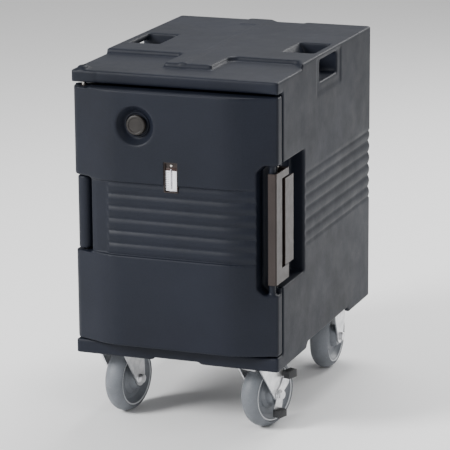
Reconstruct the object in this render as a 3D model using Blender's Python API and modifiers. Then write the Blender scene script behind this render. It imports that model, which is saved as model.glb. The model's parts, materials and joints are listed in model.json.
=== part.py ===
"""Insulated front-loading food carrier on casters, modelled as separate pieces.

Metres, +Z up. The origin is on the floor under the middle of the object. +X is the latch side,
-Y is the door, so the hinge rod stands at the left front corner.
"""
import math

import bmesh
import bpy
from mathutils import Matrix, Vector

# ---- overall sizes ----
BODY_WIDTH = 0.464
OVERALL_DEPTH = 0.673          # from the crown of the bowed door to the back wall
BODY_HEIGHT = 0.640            # from the bottom of the skirt to the raised top
WHEEL_RADIUS = 0.0762
WHEEL_HEADROOM = 0.0016        # between a wheel's top and the skirt's bottom edge
GAP = 0.0003                   # between pieces that touch
OVER = 0.02                    # how far a cutter runs past the face it cuts
SEATED = 0.004                 # how far a joined piece sinks into the one under it

# ---- cabinet ----
WALL = 0.005                   # moulded outer wall
LINER_WALL = 0.004
LEDGE_DROP = 0.013             # how far the front ledge lies below the raised top
LEDGE_THICK = 0.027
LEDGE_DEPTH = 0.195            # from the lid's front edge to the raised top
BLOCK_WIDTH = 0.100            # middle block that runs forward over the ledge
BLOCK_DEPTH = 0.113
BLOCK_STEP = 0.001             # its top lies this far below the raised top
CABIN_SIDE = 0.062             # insulated wall beside the cabin
CABIN_BACK = 0.044             # leaves room for a full-size pan, 530 mm deep, behind the shut door
CABIN_FLOOR = 0.075            # above the bottom of the skirt
CABIN_ROOF = 0.075             # below the raised top
RAIL_PITCH = 0.076
RAIL_WIDTH = 0.013
RAIL_THICK = 0.007
RAIL_FIRST = 0.046             # lowest rail, above the cabin floor
RAIL_HEADROOM = 0.050          # least space above the highest rail
RAIL_FRONT = 0.040             # rails start this far behind the cabinet's front face
RAIL_BACK = 0.012              # and end this far in front of the cabin's back
SKIRT_DEPTH = 0.0275           # the underside lies this far above the skirt's bottom edge
SKIRT_WALL = 0.012
SIDE_NOTCH_HEIGHT = 0.013
SIDE_NOTCH_START = 0.190       # from the lid's front edge
SIDE_NOTCH_LENGTH = 0.300
LIP_HEIGHT = 0.0325            # base lip under the door

# ---- carry handles in the top corners ----
GRIP_LENGTH = 0.120
GRIP_START = 0.280             # from the lid's front edge
GRIP_DEPTH = 0.072
GRIP_BAR = 0.017               # width of the bar that is gripped
GRIP_BAR_DROP = 0.018
GRIP_HEIGHT = 0.047

# ---- door and hinge ----
DOOR_BULGE = 0.031             # the door's middle stands this far in front of the lid
DOOR_EDGE = 0.031              # thickness of the door's edge
DOOR_GAP = 0.005               # to the cabinet's front face
DOOR_TOP_GAP = 0.006
DOOR_BOTTOM_GAP = 0.0035
DOOR_BEND = 0.089              # the flat middle ends this far in from each side
DOOR_CORNER = 0.0055
DOOR_SKIN = 0.013
HINGE_X = 0.022                # rod, in from the cabinet's left side
HINGE_Y = 0.018                # rod, back from the lid's front edge
HINGE_ROD_RADIUS = 0.005
HINGE_NOSE = 0.022             # radius of the door's edge around the rod
HINGE_SWING_GAP = 0.0016
BUSH_WALL = 0.0022
KNUCKLE_RADIUS = 0.017
KNUCKLE_BOTTOM = 0.236
KNUCKLE_TOP = 0.396
KNUCKLE_CLEAR = 0.003
KNUCKLE_WEB = 0.028            # thickness of the web that joins the knuckle to the cabinet
LID_BOSS_RADIUS = 0.011
LID_BOSS_HEIGHT = 0.007        # above the ledge
RELIEF_LENGTH = 0.057          # corner relief, back from the rod
ROD_TOP = 0.003                # rod's end above the ledge
ROD_FOOT = 0.0013              # rod's end above the underside
BUSH_LENGTH = 0.028
BUSH_INSET = 0.002
BAND_BOTTOM = 0.236            # recessed band across the door
BAND_TOP = 0.397
BAND_DEPTH = 0.006
BAND_START = 0.046
BAND_INNER = 0.020             # band's slope starts here, in from the hinge side
BAND_OUTER = 0.012             # and ends here, in from the latch side
PLUG_CLEAR = 0.010             # between the door's inner panel and the cabin's walls
PLUG_DEPTH = 0.021
DOOR_RIM = 0.009               # solid rim round the door's cavity
CAVITY_START = 0.050           # cavity, in from the hinge side
CAVITY_SLOPE = 0.042           # width of the cavity's sloping ends
PANEL_THICK = 0.004
GASKET_EASE = 0.002            # gasket's hole to the cabin's mouth
GASKET_WIDTH = 0.007

# ---- vent and thermometer in the door ----
VENT_INSET = 0.156             # in from the hinge side
VENT_DROP = 0.073              # below the door's top
VENT_DISH_RADIUS = 0.0430
VENT_DISH_FLOOR = 0.0310
VENT_DISH_DEPTH = 0.018
VENT_CAP_RADIUS = 0.0215
VENT_CAP_THICK = 0.0098
CAP_EDGE = 0.003               # chamfer round the cap's front
VENT_STEM_RADIUS = 0.005
SEAL_THICK = 0.0021
VENT_STEM_REACH = 0.045
STEM_CLEAR = 0.001
VENT_BOSS_WALL = 0.006
GAUGE_X = 0.004
GAUGE_DROP = 0.179             # middle of the thermometer, below the door's top
GAUGE_WIDTH = 0.032
GAUGE_HEIGHT = 0.066
GAUGE_DEPTH = 0.010
PROBE_RADIUS = 0.003
PROBE_REACH = 0.024            # into the cabin
PROBE_DROP = 0.008             # probe, below the housing's top
HOUSING_WALL = 0.002
HOUSING_FLOOR = 0.003
CARD_THICK = 0.0012
CARD_TOP = 0.0125              # card, below the housing's top
CARD_EASE = 0.001              # card, in from the housing's walls
HOUSING_INSET = 0.0017         # housing, behind the door's front
TUBE_BOTTOM = 0.008            # tube, above the housing's foot
TUBE_TOP = 0.014               # tube, below the housing's top
TUBE_RADIUS = 0.0012

# ---- latch ----
LATCH_BOTTOM = 0.180           # recess in the cabinet's side
LATCH_TOP = 0.450
LATCH_LENGTH = 0.137           # recess, back from the front face
LATCH_DEPTH = 0.036
EDGE_BOTTOM = 0.170            # recess in the door's edge
EDGE_TOP = 0.450
EDGE_WIDTH = 0.043
EDGE_CHAMFER = 0.014
KEEPER_RADIUS = 0.0075
KEEPER_X = 0.015               # keeper bar, in from the latch side
KEEPER_Y = 0.008
LATCH_ROD_RADIUS = 0.003
LATCH_ROD_X = 0.0195           # in from the latch side
LATCH_ROD_Y = 0.052
LATCH_THROW = 0.017            # rod to link pin
LATCH_PLATE = 0.0035
HOOK_BOTTOM = 0.193
HOOK_TOP = 0.433
HANDLE_BOTTOM = 0.226
HANDLE_TOP = 0.414
HANDLE_REACH = 0.048           # rod to the handle's free edge
PIVOT_CLEAR = 0.0004
LINK_PIN_RADIUS = 0.0025
PIN_INSET = 0.001
HOOK_CLEAR = 0.001             # hook's lip to the keeper bar
WINDOW_EASE = 0.003            # handle to the hook's window
BARREL_WALL = 0.0032
EYE_HALF = 0.007               # half the width of the hook's eye blocks
ROD_SEAT = 0.004               # how far the latch rod enters the recess's ends

# ---- casters ----
PLATE_WIDTH = 0.100
PLATE_LENGTH = 0.115
PLATE_THICK = 0.005
CASTER_INSET_X = 0.072         # plate centre to the cabinet's side
STUD_PLATE_CLEAR = 0.0004      # front stud plate's corner to the wall round the hinge
CASTER_REAR = 0.092            # rear plate's centre, in from the back wall
CASTER_TRAIL = 0.034
SWIVEL_LEFT = math.radians(-9)
SWIVEL_RIGHT = math.radians(-18)
TREAD_WIDTH = 0.050
RIM_RADIUS = 0.0615
RIM_WIDTH = 0.038
RIM_LIP = 0.006
WEB_WIDTH = 0.012
HUB_RADIUS = 0.024
HUB_WIDTH = 0.0550
LEG_THICK = 0.004
LEG_CLEAR = 0.001
AXLE_RADIUS = 0.006
SPACER_WALL = 0.004
RACE_RADIUS = 0.033
RACE_HEIGHT = 0.0105
CROWN_THICK = 0.0045
KINGPIN_RADIUS = 0.008
KINGPIN_HEAD_RADIUS = 0.012
KINGPIN_HEAD_THICK = 0.005
STUD_RADIUS = 0.004
STUD_SPAN_X = 0.0667
STUD_SPAN_Y = 0.040
STUD_EDGE = 0.0060             # stud to the edge of the moulded-in plate
STUD_PLATE = 0.003
STUD_REACH = 0.009             # below the caster's plate
STUD_CLEAR = 0.0008
TREAD_SIDES = 36
BRAKE_PLATE = 0.003
LEVER_EYE = 0.0135             # radius of the lever round the axle bolt
PAD_REACH = 0.018
PAD_LIFT = 0.0004              # pad's inner face, out from the lever's
SHOE_RADIUS = 0.0075
SHOE_HALF = 0.019
SHOE_PIN_RADIUS = 0.003
SHOE_CLEAR = 0.008             # shoe to the tread, brake off
SHOE_DROP = 0.0195             # shoe's pivot, below the fork's crown
BOLT_HEAD_RADIUS = 0.0105
BOLT_HEAD_THICK = 0.0062
NUT_THICK = 0.0068
BOLT_END = 0.008               # bolt, past the fork on the nut's side
LEG_TIP_RADIUS = 0.0165
LEG_TOP_HALF = 0.047
LEG_SHOULDER = 0.030
CROWN_FRONT = 0.036
CROWN_REAR = 0.046

# ---- worked out from the sizes above ----
HALF_WIDTH = BODY_WIDTH / 2
REAR_Y = OVERALL_DEPTH / 2
LID_Y = -OVERALL_DEPTH / 2 + DOOR_BULGE
FACE_Y = LID_Y + DOOR_EDGE + DOOR_GAP
BASE_Z = 2 * WHEEL_RADIUS + WHEEL_HEADROOM
TOP_Z = BASE_Z + BODY_HEIGHT
LEDGE_Z = TOP_Z - LEDGE_DROP
LEDGE_UNDER = LEDGE_Z - LEDGE_THICK
LIP_Z = BASE_Z + LIP_HEIGHT
UNDER_Z = BASE_Z + SKIRT_DEPTH
HINGE = Vector((-HALF_WIDTH + HINGE_X, LID_Y + HINGE_Y, BASE_Z))
DOOR_BOTTOM = LIP_Z + DOOR_BOTTOM_GAP
DOOR_TOP = LEDGE_UNDER - DOOR_TOP_GAP
CABIN_Z = BASE_Z + CABIN_FLOOR
CABIN_WIDTH = BODY_WIDTH - 2 * CABIN_SIDE
CABIN_HEIGHT = BODY_HEIGHT - CABIN_FLOOR - CABIN_ROOF
CABIN_DEPTH = REAR_Y - CABIN_BACK - FACE_Y
RAIL_PAIRS = 1 + int((CABIN_HEIGHT - RAIL_FIRST - RAIL_HEADROOM) / RAIL_PITCH)
DOOR_FLAT = BODY_WIDTH - 2 * DOOR_BEND
VENT_X = -HALF_WIDTH + VENT_INSET
VENT_Z = DOOR_TOP - BASE_Z - VENT_DROP
GAUGE_Z = DOOR_TOP - BASE_Z - GAUGE_DROP
LATCH_ROD = Vector((HALF_WIDTH - LATCH_ROD_X, LID_Y + LATCH_ROD_Y, BASE_Z))
LATCH_PIN = LATCH_ROD + Vector((0.003, LATCH_THROW, 0))
KEEPER = Vector((HALF_WIDTH - KEEPER_X, LID_Y + KEEPER_Y, BASE_Z))
HINGE_WALL = HINGE_NOSE + HINGE_SWING_GAP + WALL + STUD_PLATE_CLEAR
STUD_CORNER = CASTER_INSET_X - HINGE_X - STUD_SPAN_X / 2 - STUD_EDGE
CASTER_FRONT = HINGE_Y + math.sqrt(HINGE_WALL ** 2 - STUD_CORNER ** 2) + STUD_SPAN_Y / 2 + STUD_EDGE
CROWN_TOP = UNDER_Z - PLATE_THICK - RACE_HEIGHT - 3 * GAP
SHOE_RISE = CROWN_TOP - SHOE_DROP - WHEEL_RADIUS
SHOE_Y = CASTER_TRAIL - math.sqrt((WHEEL_RADIUS + SHOE_RADIUS + SHOE_CLEAR) ** 2 - SHOE_RISE ** 2)

COLOURS = {
    "shell": ((0.043, 0.047, 0.060), 0.45, 0.0),
    "liner": ((0.050, 0.054, 0.066), 0.50, 0.0),
    "foam": ((0.75, 0.66, 0.40), 0.90, 0.0),
    "gasket": ((0.08, 0.08, 0.08), 0.80, 0.0),
    "nylon": ((0.105, 0.070, 0.058), 0.42, 0.0),
    "vent": ((0.110, 0.100, 0.092), 0.50, 0.0),
    "card": ((0.82, 0.82, 0.84), 0.40, 0.0),
    "glass": ((0.70, 0.10, 0.06), 0.10, 0.0),
    "rod": ((0.62, 0.61, 0.60), 0.28, 1.0),
    "zinc": ((0.60, 0.60, 0.62), 0.32, 1.0),
    "tread": ((0.150, 0.160, 0.172), 0.60, 0.0),
    "core": ((0.165, 0.175, 0.190), 0.50, 0.0),
    "pad": ((0.020, 0.021, 0.023), 0.70, 0.0),
}

for old in list(bpy.data.objects):
    bpy.data.objects.remove(old, do_unlink=True)

carrier = bpy.data.collections.new("food_carrier")
cutters = bpy.data.collections.new("cutters")
bpy.context.scene.collection.children.link(carrier)
bpy.context.scene.collection.children.link(cutters)


def finish_material(name):
    material = bpy.data.materials.get(name)
    if material is None:
        colour, roughness, metallic = COLOURS[name]
        material = bpy.data.materials.new(name)
        material.use_nodes = True
        shader = material.node_tree.nodes["Principled BSDF"]
        shader.inputs["Base Color"].default_value = (*colour, 1)
        shader.inputs["Roughness"].default_value = roughness
        shader.inputs["Metallic"].default_value = metallic
    return material


def adopt(obj, name, finish, parent):
    """Name a new object and put it among the carrier's pieces, or among the cutters if it has no finish."""
    obj.name = name
    obj.data.name = name
    for holder in list(obj.users_collection):
        holder.objects.unlink(obj)
    if finish:
        carrier.objects.link(obj)
        obj.data.materials.clear()
        obj.data.materials.append(finish_material(finish))
    else:
        cutters.objects.link(obj)
        obj.hide_render = True
        obj.display_type = "WIRE"
    if parent is not None:
        obj.parent = parent
    return obj


def box(name, low, high, finish=None, parent=None):
    low = Vector(low)
    high = Vector(high)
    bpy.ops.mesh.primitive_cube_add(size=1, location=(low + high) / 2)
    obj = bpy.context.object
    obj.data.transform(Matrix.Diagonal((*(high - low), 1)))
    return adopt(obj, name, finish, parent)


def rod(name, start, end, radius, finish=None, parent=None, sides=16):
    """A round or many-sided bar between two points."""
    start = Vector(start)
    end = Vector(end)
    along = end - start
    bpy.ops.mesh.primitive_cylinder_add(vertices=sides, radius=radius, depth=along.length, location=(0, 0, 0))
    obj = bpy.context.object
    obj.rotation_euler = along.to_track_quat("Z", "Y").to_euler()
    obj.location = (start + end) / 2
    if sides > 8:
        obj.data.shade_smooth()
        obj.data.set_sharp_from_angle(angle=math.radians(40))
    return adopt(obj, name, finish, parent)


def turned(name, profile, at, along, finish=None, parent=None, sides=24):
    """Turn a closed profile of (radius, distance along the axis) about an axis through a point."""
    mesh = bpy.data.meshes.new(name)
    points = [(radius, 0, height) for radius, height in profile]
    edges = [(i, (i + 1) % len(points)) for i in range(len(points))]
    mesh.from_pydata(points, edges, [])
    obj = bpy.data.objects.new(name, mesh)
    bpy.context.scene.collection.objects.link(obj)
    screw = obj.modifiers.new("turn", "SCREW")
    screw.axis = "Z"
    screw.steps = sides
    screw.render_steps = sides
    screw.use_merge_vertices = True
    screw.merge_threshold = 0.00001
    screw.use_smooth_shade = True
    obj.rotation_euler = Vector(along).to_track_quat("Z", "Y").to_euler()
    obj.location = at
    return adopt(obj, name, finish, parent)


def ring_profile(inner, outer, low, high):
    """A rectangular section for turned(), in the order that faces it outwards."""
    return [(outer, high), (outer, low), (inner, low), (inner, high)]


def plate(name, outline, low, high, lay="Z", finish=None, parent=None):
    """An outline extruded between two levels: lay Z reads (x, y), lay X reads (y, z), lay Y reads (x, z)."""
    curve = bpy.data.curves.new(name, "CURVE")
    curve.dimensions = "2D"
    curve.fill_mode = "BOTH"
    curve.extrude = (high - low) / 2
    spline = curve.splines.new("POLY")
    spline.points.add(len(outline) - 1)
    for point, (u, v) in zip(spline.points, outline):
        point.co = (u, v, 0, 1)
    spline.use_cyclic_u = True
    source = bpy.data.objects.new(name, curve)
    bpy.context.scene.collection.objects.link(source)
    bpy.context.view_layer.update()
    mesh = bpy.data.meshes.new_from_object(source.evaluated_get(bpy.context.evaluated_depsgraph_get()))
    bpy.data.objects.remove(source, do_unlink=True)
    bpy.data.curves.remove(curve)
    turn = {
        "Z": Matrix.Identity(4),
        "X": Matrix(((0, 0, 1, 0), (1, 0, 0, 0), (0, 1, 0, 0), (0, 0, 0, 1))),
        "Y": Matrix(((1, 0, 0, 0), (0, 0, -1, 0), (0, 1, 0, 0), (0, 0, 0, 1))),
    }[lay]
    level = (low + high) / 2
    mesh.transform(turn @ Matrix.Translation((0, 0, -level if lay == "Y" else level)))
    work = bmesh.new()
    work.from_mesh(mesh)
    bmesh.ops.remove_doubles(work, verts=work.verts, dist=0.00001)
    bmesh.ops.recalc_face_normals(work, faces=work.faces)
    work.to_mesh(mesh)
    work.free()
    obj = bpy.data.objects.new(name, mesh)
    bpy.context.scene.collection.objects.link(obj)
    return adopt(obj, name, finish, parent)


def cut(target, *tools):
    for tool in tools:
        step = target.modifiers.new("cut_" + tool.name[:40], "BOOLEAN")
        step.operation = "DIFFERENCE"
        step.object = tool


def join(target, *others):
    for other in others:
        step = target.modifiers.new("join_" + other.name[:40], "BOOLEAN")
        step.operation = "UNION"
        step.object = other


def pivot(name, at, parent=None, turn=0.0):
    empty = bpy.data.objects.new(name, None)
    empty.location = at
    empty.rotation_euler = (0, 0, turn)
    empty.empty_display_size = 0.02
    carrier.objects.link(empty)
    if parent is not None:
        empty.parent = parent
    return empty


def arc(centre, radius, start, end, steps):
    """Points on an arc, angles in degrees from +X."""
    points = []
    for i in range(steps + 1):
        angle = math.radians(start + (end - start) * i / steps)
        points.append((centre[0] + radius * math.cos(angle), centre[1] + radius * math.sin(angle)))
    return points


# ---------------------------------------------------------------- cabinet
def grip_cutter(name, side, wall):
    """The L-shaped hollow behind a carry handle's bar, or the plain corner that it takes from the foam."""
    front = LID_Y + GRIP_START - wall
    back = LID_Y + GRIP_START + GRIP_LENGTH + wall
    inner = HALF_WIDTH - GRIP_BAR - GRIP_DEPTH - wall
    bar = HALF_WIDTH - GRIP_BAR + wall
    bar_under = TOP_Z - GRIP_BAR_DROP + wall
    floor = TOP_Z - GRIP_BAR_DROP - GRIP_HEIGHT - wall
    outline = [(inner, TOP_Z + OVER), (inner, floor), (HALF_WIDTH + OVER, floor)]
    if wall:
        outline += [(HALF_WIDTH + OVER, TOP_Z + OVER)]
    else:
        outline += [(HALF_WIDTH + OVER, bar_under), (bar, bar_under), (bar, TOP_Z + OVER)]
    outline = [(side * x, z) for x, z in outline]
    return plate(name, outline, front, back, lay="Y")


def latch_pocket(name, wall):
    return box(
        name,
        (HALF_WIDTH - LATCH_DEPTH - wall, FACE_Y - OVER, BASE_Z + LATCH_BOTTOM - wall),
        (HALF_WIDTH + OVER, FACE_Y + LATCH_LENGTH + wall, BASE_Z + LATCH_TOP + wall),
    )


def cabinet_void(name, inset, finish=None):
    """The space between the outer wall and the liner, which the foam fills."""
    void = box(
        name,
        (-HALF_WIDTH + WALL + inset, FACE_Y + WALL + inset, UNDER_Z + WALL + inset),
        (HALF_WIDTH - WALL - inset, REAR_Y - WALL - inset, TOP_Z - WALL - inset), finish,
    )
    ledge = box(
        name + "_ledge",
        (-HALF_WIDTH - OVER, FACE_Y - OVER, LEDGE_Z - WALL - inset),
        (HALF_WIDTH + OVER, LID_Y + LEDGE_DEPTH + WALL + inset, TOP_Z + OVER),
    )
    cut(void, ledge)
    for side in (-1, 1):
        cut(void, grip_cutter(f"{name}_grip_{side}", side, WALL + inset))
    cut(void, latch_pocket(name + "_latch", WALL + inset))
    corner = plate(name + "_corner", relief_outline(WALL + inset), UNDER_Z - OVER, LEDGE_UNDER + WALL + inset)
    cut(void, corner)
    return void


def relief_outline(wall):
    """The cabinet's left front corner, cut back so that the door's edge can swing round the rod."""
    radius = HINGE_NOSE + HINGE_SWING_GAP + wall
    rim = arc(HINGE, radius, -60, 75, 10)
    return [(-HALF_WIDTH - OVER, HINGE.y - 0.03)] + rim + [
        (-HALF_WIDTH + wall * 0.7, HINGE.y + RELIEF_LENGTH + wall),
        (-HALF_WIDTH - OVER, HINGE.y + RELIEF_LENGTH + wall),
    ]


def build_cabinet():
    outline = [
        (FACE_Y, LIP_Z), (LID_Y, LIP_Z), (LID_Y, BASE_Z), (REAR_Y, BASE_Z), (REAR_Y, TOP_Z),
        (LID_Y + LEDGE_DEPTH, TOP_Z), (LID_Y + LEDGE_DEPTH, LEDGE_Z), (LID_Y, LEDGE_Z),
        (LID_Y, LEDGE_UNDER), (FACE_Y, LEDGE_UNDER),
    ]
    shell = plate("cabinet_shell", outline, -HALF_WIDTH, HALF_WIDTH, lay="X", finish="shell")
    block_front = LID_Y + LEDGE_DEPTH - BLOCK_DEPTH
    block_back = block_front + BLOCK_DEPTH + SEATED
    block = box(
        "top_block",
        (-BLOCK_WIDTH / 2, block_front, LEDGE_Z - SEATED), (BLOCK_WIDTH / 2, block_back, TOP_Z - BLOCK_STEP),
    )
    corner = plate("hinge_corner", relief_outline(0), LIP_Z, LEDGE_UNDER)
    knuckle_low = HINGE + Vector((0, 0, KNUCKLE_BOTTOM))
    knuckle_high = HINGE + Vector((0, 0, KNUCKLE_TOP))
    knuckle = rod("middle_knuckle", knuckle_low, knuckle_high, KNUCKLE_RADIUS, sides=24)
    web = box(
        "knuckle_web",
        knuckle_low - Vector((KNUCKLE_WEB / 2, 0, 0)),
        (HINGE.x + KNUCKLE_WEB / 2, HINGE.y + RELIEF_LENGTH + SEATED, BASE_Z + KNUCKLE_TOP),
    )
    boss_low = (HINGE.x, HINGE.y, LEDGE_Z - SEATED)
    boss = rod("lid_boss", boss_low, (HINGE.x, HINGE.y, LEDGE_Z + LID_BOSS_HEIGHT), LID_BOSS_RADIUS)
    join(shell, block)
    cut(shell, corner)
    join(shell, knuckle, web, boss)
    for side in (-1, 1):
        cut(shell, grip_cutter(f"grip_{side}", side, 0))
    cut(shell, latch_pocket("latch_pocket", 0))
    cut(shell, cabinet_void("shell_void", 0))
    half_tub = CABIN_WIDTH / 2 + LINER_WALL
    tub_top = CABIN_Z + CABIN_HEIGHT + LINER_WALL
    throat = box(
        "throat",
        (-half_tub - GAP, FACE_Y - OVER, CABIN_Z - LINER_WALL - GAP),
        (half_tub + GAP, FACE_Y + OVER, tub_top + GAP),
    )
    under = box(
        "underside",
        (-HALF_WIDTH + SKIRT_WALL, LID_Y + SKIRT_WALL, BASE_Z - OVER),
        (HALF_WIDTH - SKIRT_WALL, REAR_Y - SKIRT_WALL, UNDER_Z),
    )
    notch = box(
        "side_notch",
        (-HALF_WIDTH - OVER, LID_Y + SIDE_NOTCH_START, BASE_Z - OVER),
        (HALF_WIDTH + OVER, LID_Y + SIDE_NOTCH_START + SIDE_NOTCH_LENGTH, BASE_Z + SIDE_NOTCH_HEIGHT),
    )
    bore_foot = (HINGE.x, HINGE.y, UNDER_Z + ROD_FOOT - GAP)
    hinge_bore = rod("hinge_bore", bore_foot, (HINGE.x, HINGE.y, TOP_Z + OVER), HINGE_ROD_RADIUS + GAP)
    seat_low = LATCH_ROD + Vector((0, 0, LATCH_BOTTOM - ROD_SEAT - GAP))
    seat_high = LATCH_ROD + Vector((0, 0, LATCH_TOP + ROD_SEAT + GAP))
    latch_bore = rod("latch_bore", seat_low, seat_high, LATCH_ROD_RADIUS + GAP, sides=12)
    cut(shell, throat, under, notch, hinge_bore, latch_bore)

    liner_low = Vector((-half_tub, FACE_Y + GAP, CABIN_Z - LINER_WALL))
    liner_high = Vector((half_tub, FACE_Y + CABIN_DEPTH + LINER_WALL, tub_top))
    liner = box("cabinet_liner", liner_low, liner_high, "liner")
    cabin = box(
        "cabin",
        (-CABIN_WIDTH / 2, FACE_Y - OVER, CABIN_Z),
        (CABIN_WIDTH / 2, FACE_Y + CABIN_DEPTH, CABIN_Z + CABIN_HEIGHT),
    )
    cut(liner, cabin)
    rail_front = FACE_Y + RAIL_FRONT
    rail_back = FACE_Y + CABIN_DEPTH - RAIL_BACK
    for pair in range(RAIL_PAIRS):
        level = CABIN_Z + RAIL_FIRST + pair * RAIL_PITCH
        for side in (-1, 1):
            outer = side * (CABIN_WIDTH / 2 + LINER_WALL / 2)
            inner = side * (CABIN_WIDTH / 2 - RAIL_WIDTH)
            rail = box(
                f"rail_{pair}_{side}",
                (min(outer, inner), rail_front, level), (max(outer, inner), rail_back, level + RAIL_THICK),
            )
            join(liner, rail)

    foam = cabinet_void("cabinet_foam", GAP, "foam")
    tub = box("tub_space", liner_low - Vector((GAP, OVER, GAP)), liner_high + Vector((GAP, GAP, GAP)))
    cut(foam, tub)
    return shell, foam


# ---------------------------------------------------------------- door
def tangent(centre, radius, point):
    """Where a line from a point in front of a circle touches it on the side facing -Y."""
    away = Vector(point) - Vector(centre).xy
    span = math.acos(radius / away.length)
    angle = math.atan2(away.y, away.x) - span
    return math.degrees(angle)


def door_outline():
    left = -DOOR_FLAT / 2
    right = DOOR_FLAT / 2
    front = LID_Y - DOOR_BULGE
    rear = LID_Y + DOOR_EDGE
    touch = tangent(HINGE, HINGE_NOSE, (left, front))
    rise = math.degrees(math.asin((rear - HINGE.y) / HINGE_NOSE))
    nose = arc(HINGE, HINGE_NOSE, 180 - rise, 360 + touch, 12)
    corner = arc((HALF_WIDTH - DOOR_CORNER, LID_Y + DOOR_CORNER), DOOR_CORNER, -90, 0, 3)
    return nose + [(left, front), (right, front)] + corner + [(HALF_WIDTH, rear)]


def cavity_outline(inset):
    """Inside of the door's skin, between the rod side and the latch recess."""
    left = -HALF_WIDTH + CAVITY_START + inset
    right = HALF_WIDTH - EDGE_WIDTH - DOOR_RIM - inset
    front = LID_Y - DOOR_BULGE + DOOR_SKIN + inset
    return [
        (left, LID_Y + DOOR_EDGE + OVER), (left, LID_Y - 0.004 + inset), (left + CAVITY_SLOPE, front),
        (right - CAVITY_SLOPE, front), (right, LID_Y - 0.002 + inset), (right, LID_Y + DOOR_EDGE + OVER),
    ]


def door_cavity(name, inset, finish=None):
    low = DOOR_BOTTOM + DOOR_RIM + inset
    high = DOOR_TOP - DOOR_RIM - inset
    void = plate(name, cavity_outline(inset), low, high, finish=finish)
    front = LID_Y - DOOR_BULGE
    back = front + VENT_DISH_DEPTH + VENT_BOSS_WALL + inset
    boss = rod(
        name + "_boss", (VENT_X, front - OVER, BASE_Z + VENT_Z), (VENT_X, back, BASE_Z + VENT_Z),
        VENT_DISH_RADIUS + 0.004 + inset, sides=24,
    )
    cut(void, boss)
    return void


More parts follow.
